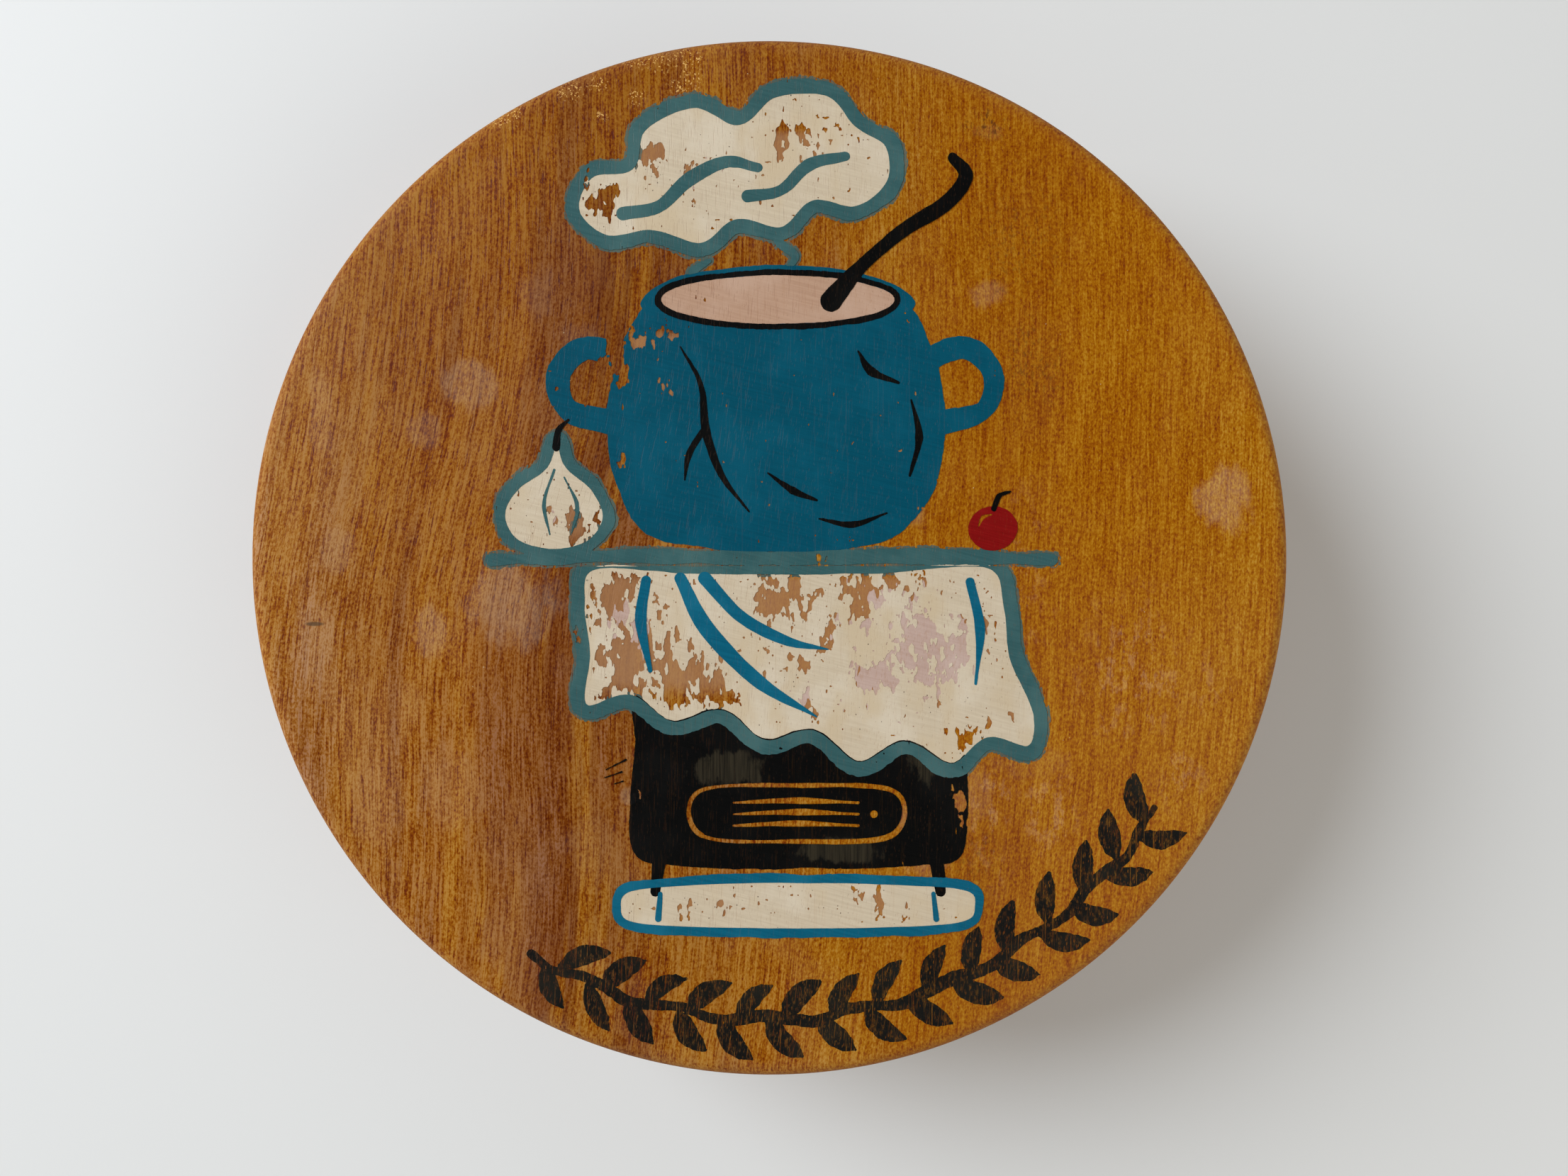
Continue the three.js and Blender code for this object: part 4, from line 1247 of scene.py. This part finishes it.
    # bright blue: the mat's edge and fringe, the towel's folds
    blue = np.maximum.reduce([
        edge(mat, 0.62, 0.35),
        s([(-15.2, -46.9), (-15.5, -50.4)], [0.30, 0.42]), s([(22.9, -46.9), (23.3, -50.4)], [0.30, 0.42]),
        s([(-17.2, -3.2), (-17.9, -8.8), (-16.6, -15.8)], [0.72, 0.82, 0.30]),
        s([(-12.4, -2.9), (-8.8, -9.8), (-1.6, -17.2), (6.6, -22.2)], [0.85, 1.15, 0.95, 0.15]),
        s([(-9.0, -2.9), (-4.0, -8.2), (2.4, -11.6), (8.2, -12.8)], [0.95, 0.85, 0.68, 0.12]),
        s([(28.0, -3.4), (29.4, -10.0), (28.8, -17.6)], [0.60, 0.66, 0.15]),
    ]) + wob * 0.35
    out.append(("blue_strokes", X, Y, np.minimum(blue, left_of(1.05, 0.3 * g(-13, -5, 2, 3), 0.62, 1.15)), 0.096, "blue", "paint_teal"))

    # black brush strokes: round the stew, the pot's belly, the ladle, stalks, and a few stray hairs of the brush
    blk = np.maximum.reduce([
        edge(soup, 0.40, 0.30),
        s([(-12.4, 29.4), (-9.6, 24.2), (-8.8, 17.6), (-6.6, 11.4), (-2.8, 6.4)], [0.10, 0.40, 0.62, 0.44, 0.10]),
        s([(-8.8, 18.4), (-11.2, 14.4), (-11.8, 10.8)], [0.36, 0.42, 0.10]),
        s([(12.4, 28.8), (14.2, 26.0), (18.0, 24.4)], [0.14, 0.66, 0.18]),
        s([(19.8, 22.0), (20.9, 16.8), (19.6, 11.4)], [0.12, 0.60, 0.16]),
        s([(-0.2, 11.8), (3.2, 9.4), (6.6, 8.0)], [0.10, 0.54, 0.14]),
        s([(7.0, 5.4), (11.6, 4.6), (16.4, 6.2)], [0.12, 0.50, 0.12]),
        s([(8.6, 35.8), (12.8, 40.6), (18.6, 45.6), (24.6, 49.4), (27.4, 53.2), (25.6, 55.8)], [1.5, 0.95, 0.95, 1.10, 1.0, 0.7]),
        s([(31.3, 6.8), (32.1, 8.6), (33.6, 9.2)], [0.42, 0.34, 0.14]),
        s([(-29.7, 15.4), (-29.4, 17.8), (-28.0, 19.2)], [0.50, 0.36, 0.14]),
        s([(-22.8, -29.6), (-20.0, -28.2)], [0.06, 0.16]), s([(-23.2, -30.8), (-20.6, -29.9)], [0.05, 0.14]), s([(-22.0, -31.7), (-20.4, -31.2)], [0.05, 0.12]),
    ]) + wob * 0.3 + fine * 0.04
    out.append(("black_strokes", X, Y, np.minimum(blk, left_of(1.08, 0.0, 0.62)), 0.106, "black", "paint_black"))
    out.append(("tomato_red", X, Y, np.minimum.reduce([tomato, left_of(1.0, 0.0, 0.62), -shine]), 0.070, "red", "paint_black"))
    return out


def border_layers():
    """A garland of brushed leaves along the lower edge."""
    X, Y = grid(-48, 64, -73, -30)
    rng = np.random.default_rng(41)
    R0 = 0.882 * PRESS_R
    a0, a1 = math.radians(-121.0), math.radians(-33.0)
    n = 15
    wob = vnoise(X, Y, 3.2, 3.2, 31, 2) * 0.12 + vnoise(X, Y, 0.5, 0.6, 32, 2) * 0.09

    def at(a, r):
        return (r * math.cos(a), r * math.sin(a))

    stem = [at(a0 + (a1 - a0) * k / 26, R0 + 0.55 * math.sin(k * 1.9) + rng.uniform(-0.15, 0.15)) for k in range(27)]
    parts = [stroke(X, Y, stem, [0.55, 0.85, 0.7, 0.9, 0.75, 0.9, 0.7, 0.85, 0.45], n=6)]
    for k in range(n):
        a = a0 + (a1 - a0) * (k + 0.55) / n
        for sgn in (1, -1):
            aa = a + rng.uniform(-0.008, 0.008) + (0.030 if sgn < 0 else 0.0)
            L = rng.uniform(6.0, 7.0)
            lean = math.radians(rng.uniform(40, 52))
            bx, by = at(aa - 0.022, R0 + 0.4 * sgn)
            tx, ty = -math.sin(aa), math.cos(aa)
            rx, ry = math.cos(aa) * sgn, math.sin(aa) * sgn
            dx, dy = tx * math.cos(lean) + rx * math.sin(lean), ty * math.cos(lean) + ry * math.sin(lean)
            ox, oy = -dy * sgn, dx * sgn
            bend = rng.uniform(0.3, 0.8)
            mid = (bx + dx * L * 0.5 - ox * bend, by + dy * L * 0.5 - oy * bend)
            w = rng.uniform(1.20, 1.45)
            parts.append(stroke(X, Y, [(bx, by), mid, (bx + dx * L, by + dy * L)], [0.50, w, w * 1.08, w * 0.8, 0.22], n=8))
    f = np.maximum.reduce(parts) + wob
    keep = 0.80 - (vnoise(X, Y, 0.8, 2.6, 33, 3) * 0.60 + vnoise(X, Y, 0.35, 0.8, 34, 2) * 0.30)
    return [("leaf_border", X, Y, np.minimum(f, keep * 0.9), 0.034, "border", "paint_black")]


# ------------------------------------------------------------------ make everything
def stage():
    world = bpy.data.worlds.new("soft_room")
    bpy.context.scene.world = world
    world.use_nodes = True
    w = Tree(world.node_tree)
    bg = w.n["Background"]
    up = w.separate(w.n.new("ShaderNodeTexCoord").outputs["Generated"])[2]
    w.put(bg.inputs["Color"], w.mix(w.step(up, 0.55, 0.92), (0.975, 0.955, 0.905), (0.172, 0.164, 0.152)))
    bg.inputs["Strength"].default_value = 0.52

    def area_light(name, loc, target, size, power, color):
        l = bpy.data.lights.new(name, "AREA")
        l.shape, l.size, l.energy, l.color = "DISK", size, power, color
        o = bpy.data.objects.new(name, l)
        o.location = loc
        o.rotation_mode = "QUATERNION"
        o.rotation_quaternion = (Vector(target) - Vector(loc)).to_track_quat("-Z", "Y")
        bpy.context.scene.collection.objects.link(o)

    area_light("window", (-0.95, 0.48, 0.80), (0, 0, 0.03), 0.85, 18.7, (0.868, 0.928, 1.0))
    area_light("fill", (0.55, -0.45, 0.55), (0, 0, 0.02), 0.8, 1.8, (1.0, 0.95, 0.88))

    m, t, b = start_material("pale_floor")
    tc = t.n.new("ShaderNodeTexCoord")
    n = t.noise(t.vmul(tc.outputs["Object"], (9, 9, 9)), detail=3.0)
    t.put(b.inputs["Base Color"], t.mix(n, (0.78, 0.775, 0.755), (0.80, 0.797, 0.78)))
    b.inputs["Roughness"].default_value = 0.6
    b.inputs["Specular IOR Level"].default_value = 0.2
    mesh = bpy.data.meshes.new("floor")
    mesh.from_pydata([(-4, -4, 0), (4, -4, 0), (4, 4, 0), (-4, 4, 0)], [], [(0, 1, 2, 3)])
    mesh.materials.append(m)
    floor = bpy.data.objects.new("floor", mesh)
    bpy.context.scene.collection.objects.link(floor)


def camera():
    """Square on to the painted face, as near as a phone was held."""
    f_px, radius_px, w, h = 1597.0, 727.5, 2212.0, 1659.0
    dist = f_px * PRESS_R / radius_px
    dx = (w / 2 - 1085.5) * PRESS_R / radius_px
    dy = (787.2 - h / 2) * PRESS_R / radius_px
    cam = bpy.data.cameras.new("camera")
    cam.sensor_fit, cam.sensor_width = "HORIZONTAL", 36.0
    cam.lens = 36.0 * f_px / w
    cam.clip_start, cam.clip_end = 0.01, 20.0
    obj = bpy.data.objects.new("camera", cam)
    obj.location = (dx * MM, dy * MM, (LID_TOP - EDGE_TOP + dist) * MM)
    obj.rotation_euler = (0, 0, 0)
    bpy.context.scene.collection.objects.link(obj)
    bpy.context.scene.camera = obj
    bpy.context.scene.view_settings.view_transform = "Standard"


camera()
stage()
board_lid()
board_base()
board_ring()
board_plate()
for i in range(4):
    screw(f"base_screw_{i + 1}", "base", 4.1, 2.1, 1.75, 1.1, (17, 112, 63, 148)[i])
    screw(f"plate_screw_{i + 1}", "lid", 3.4, 1.75, 1.45, 0.9, (71, 8, 129, 40)[i])
for name, X, Y, field, thick, paint, slot_name in picture_layers() + border_layers():
    film(name, X, Y, field, thick, PAINTS[paint])
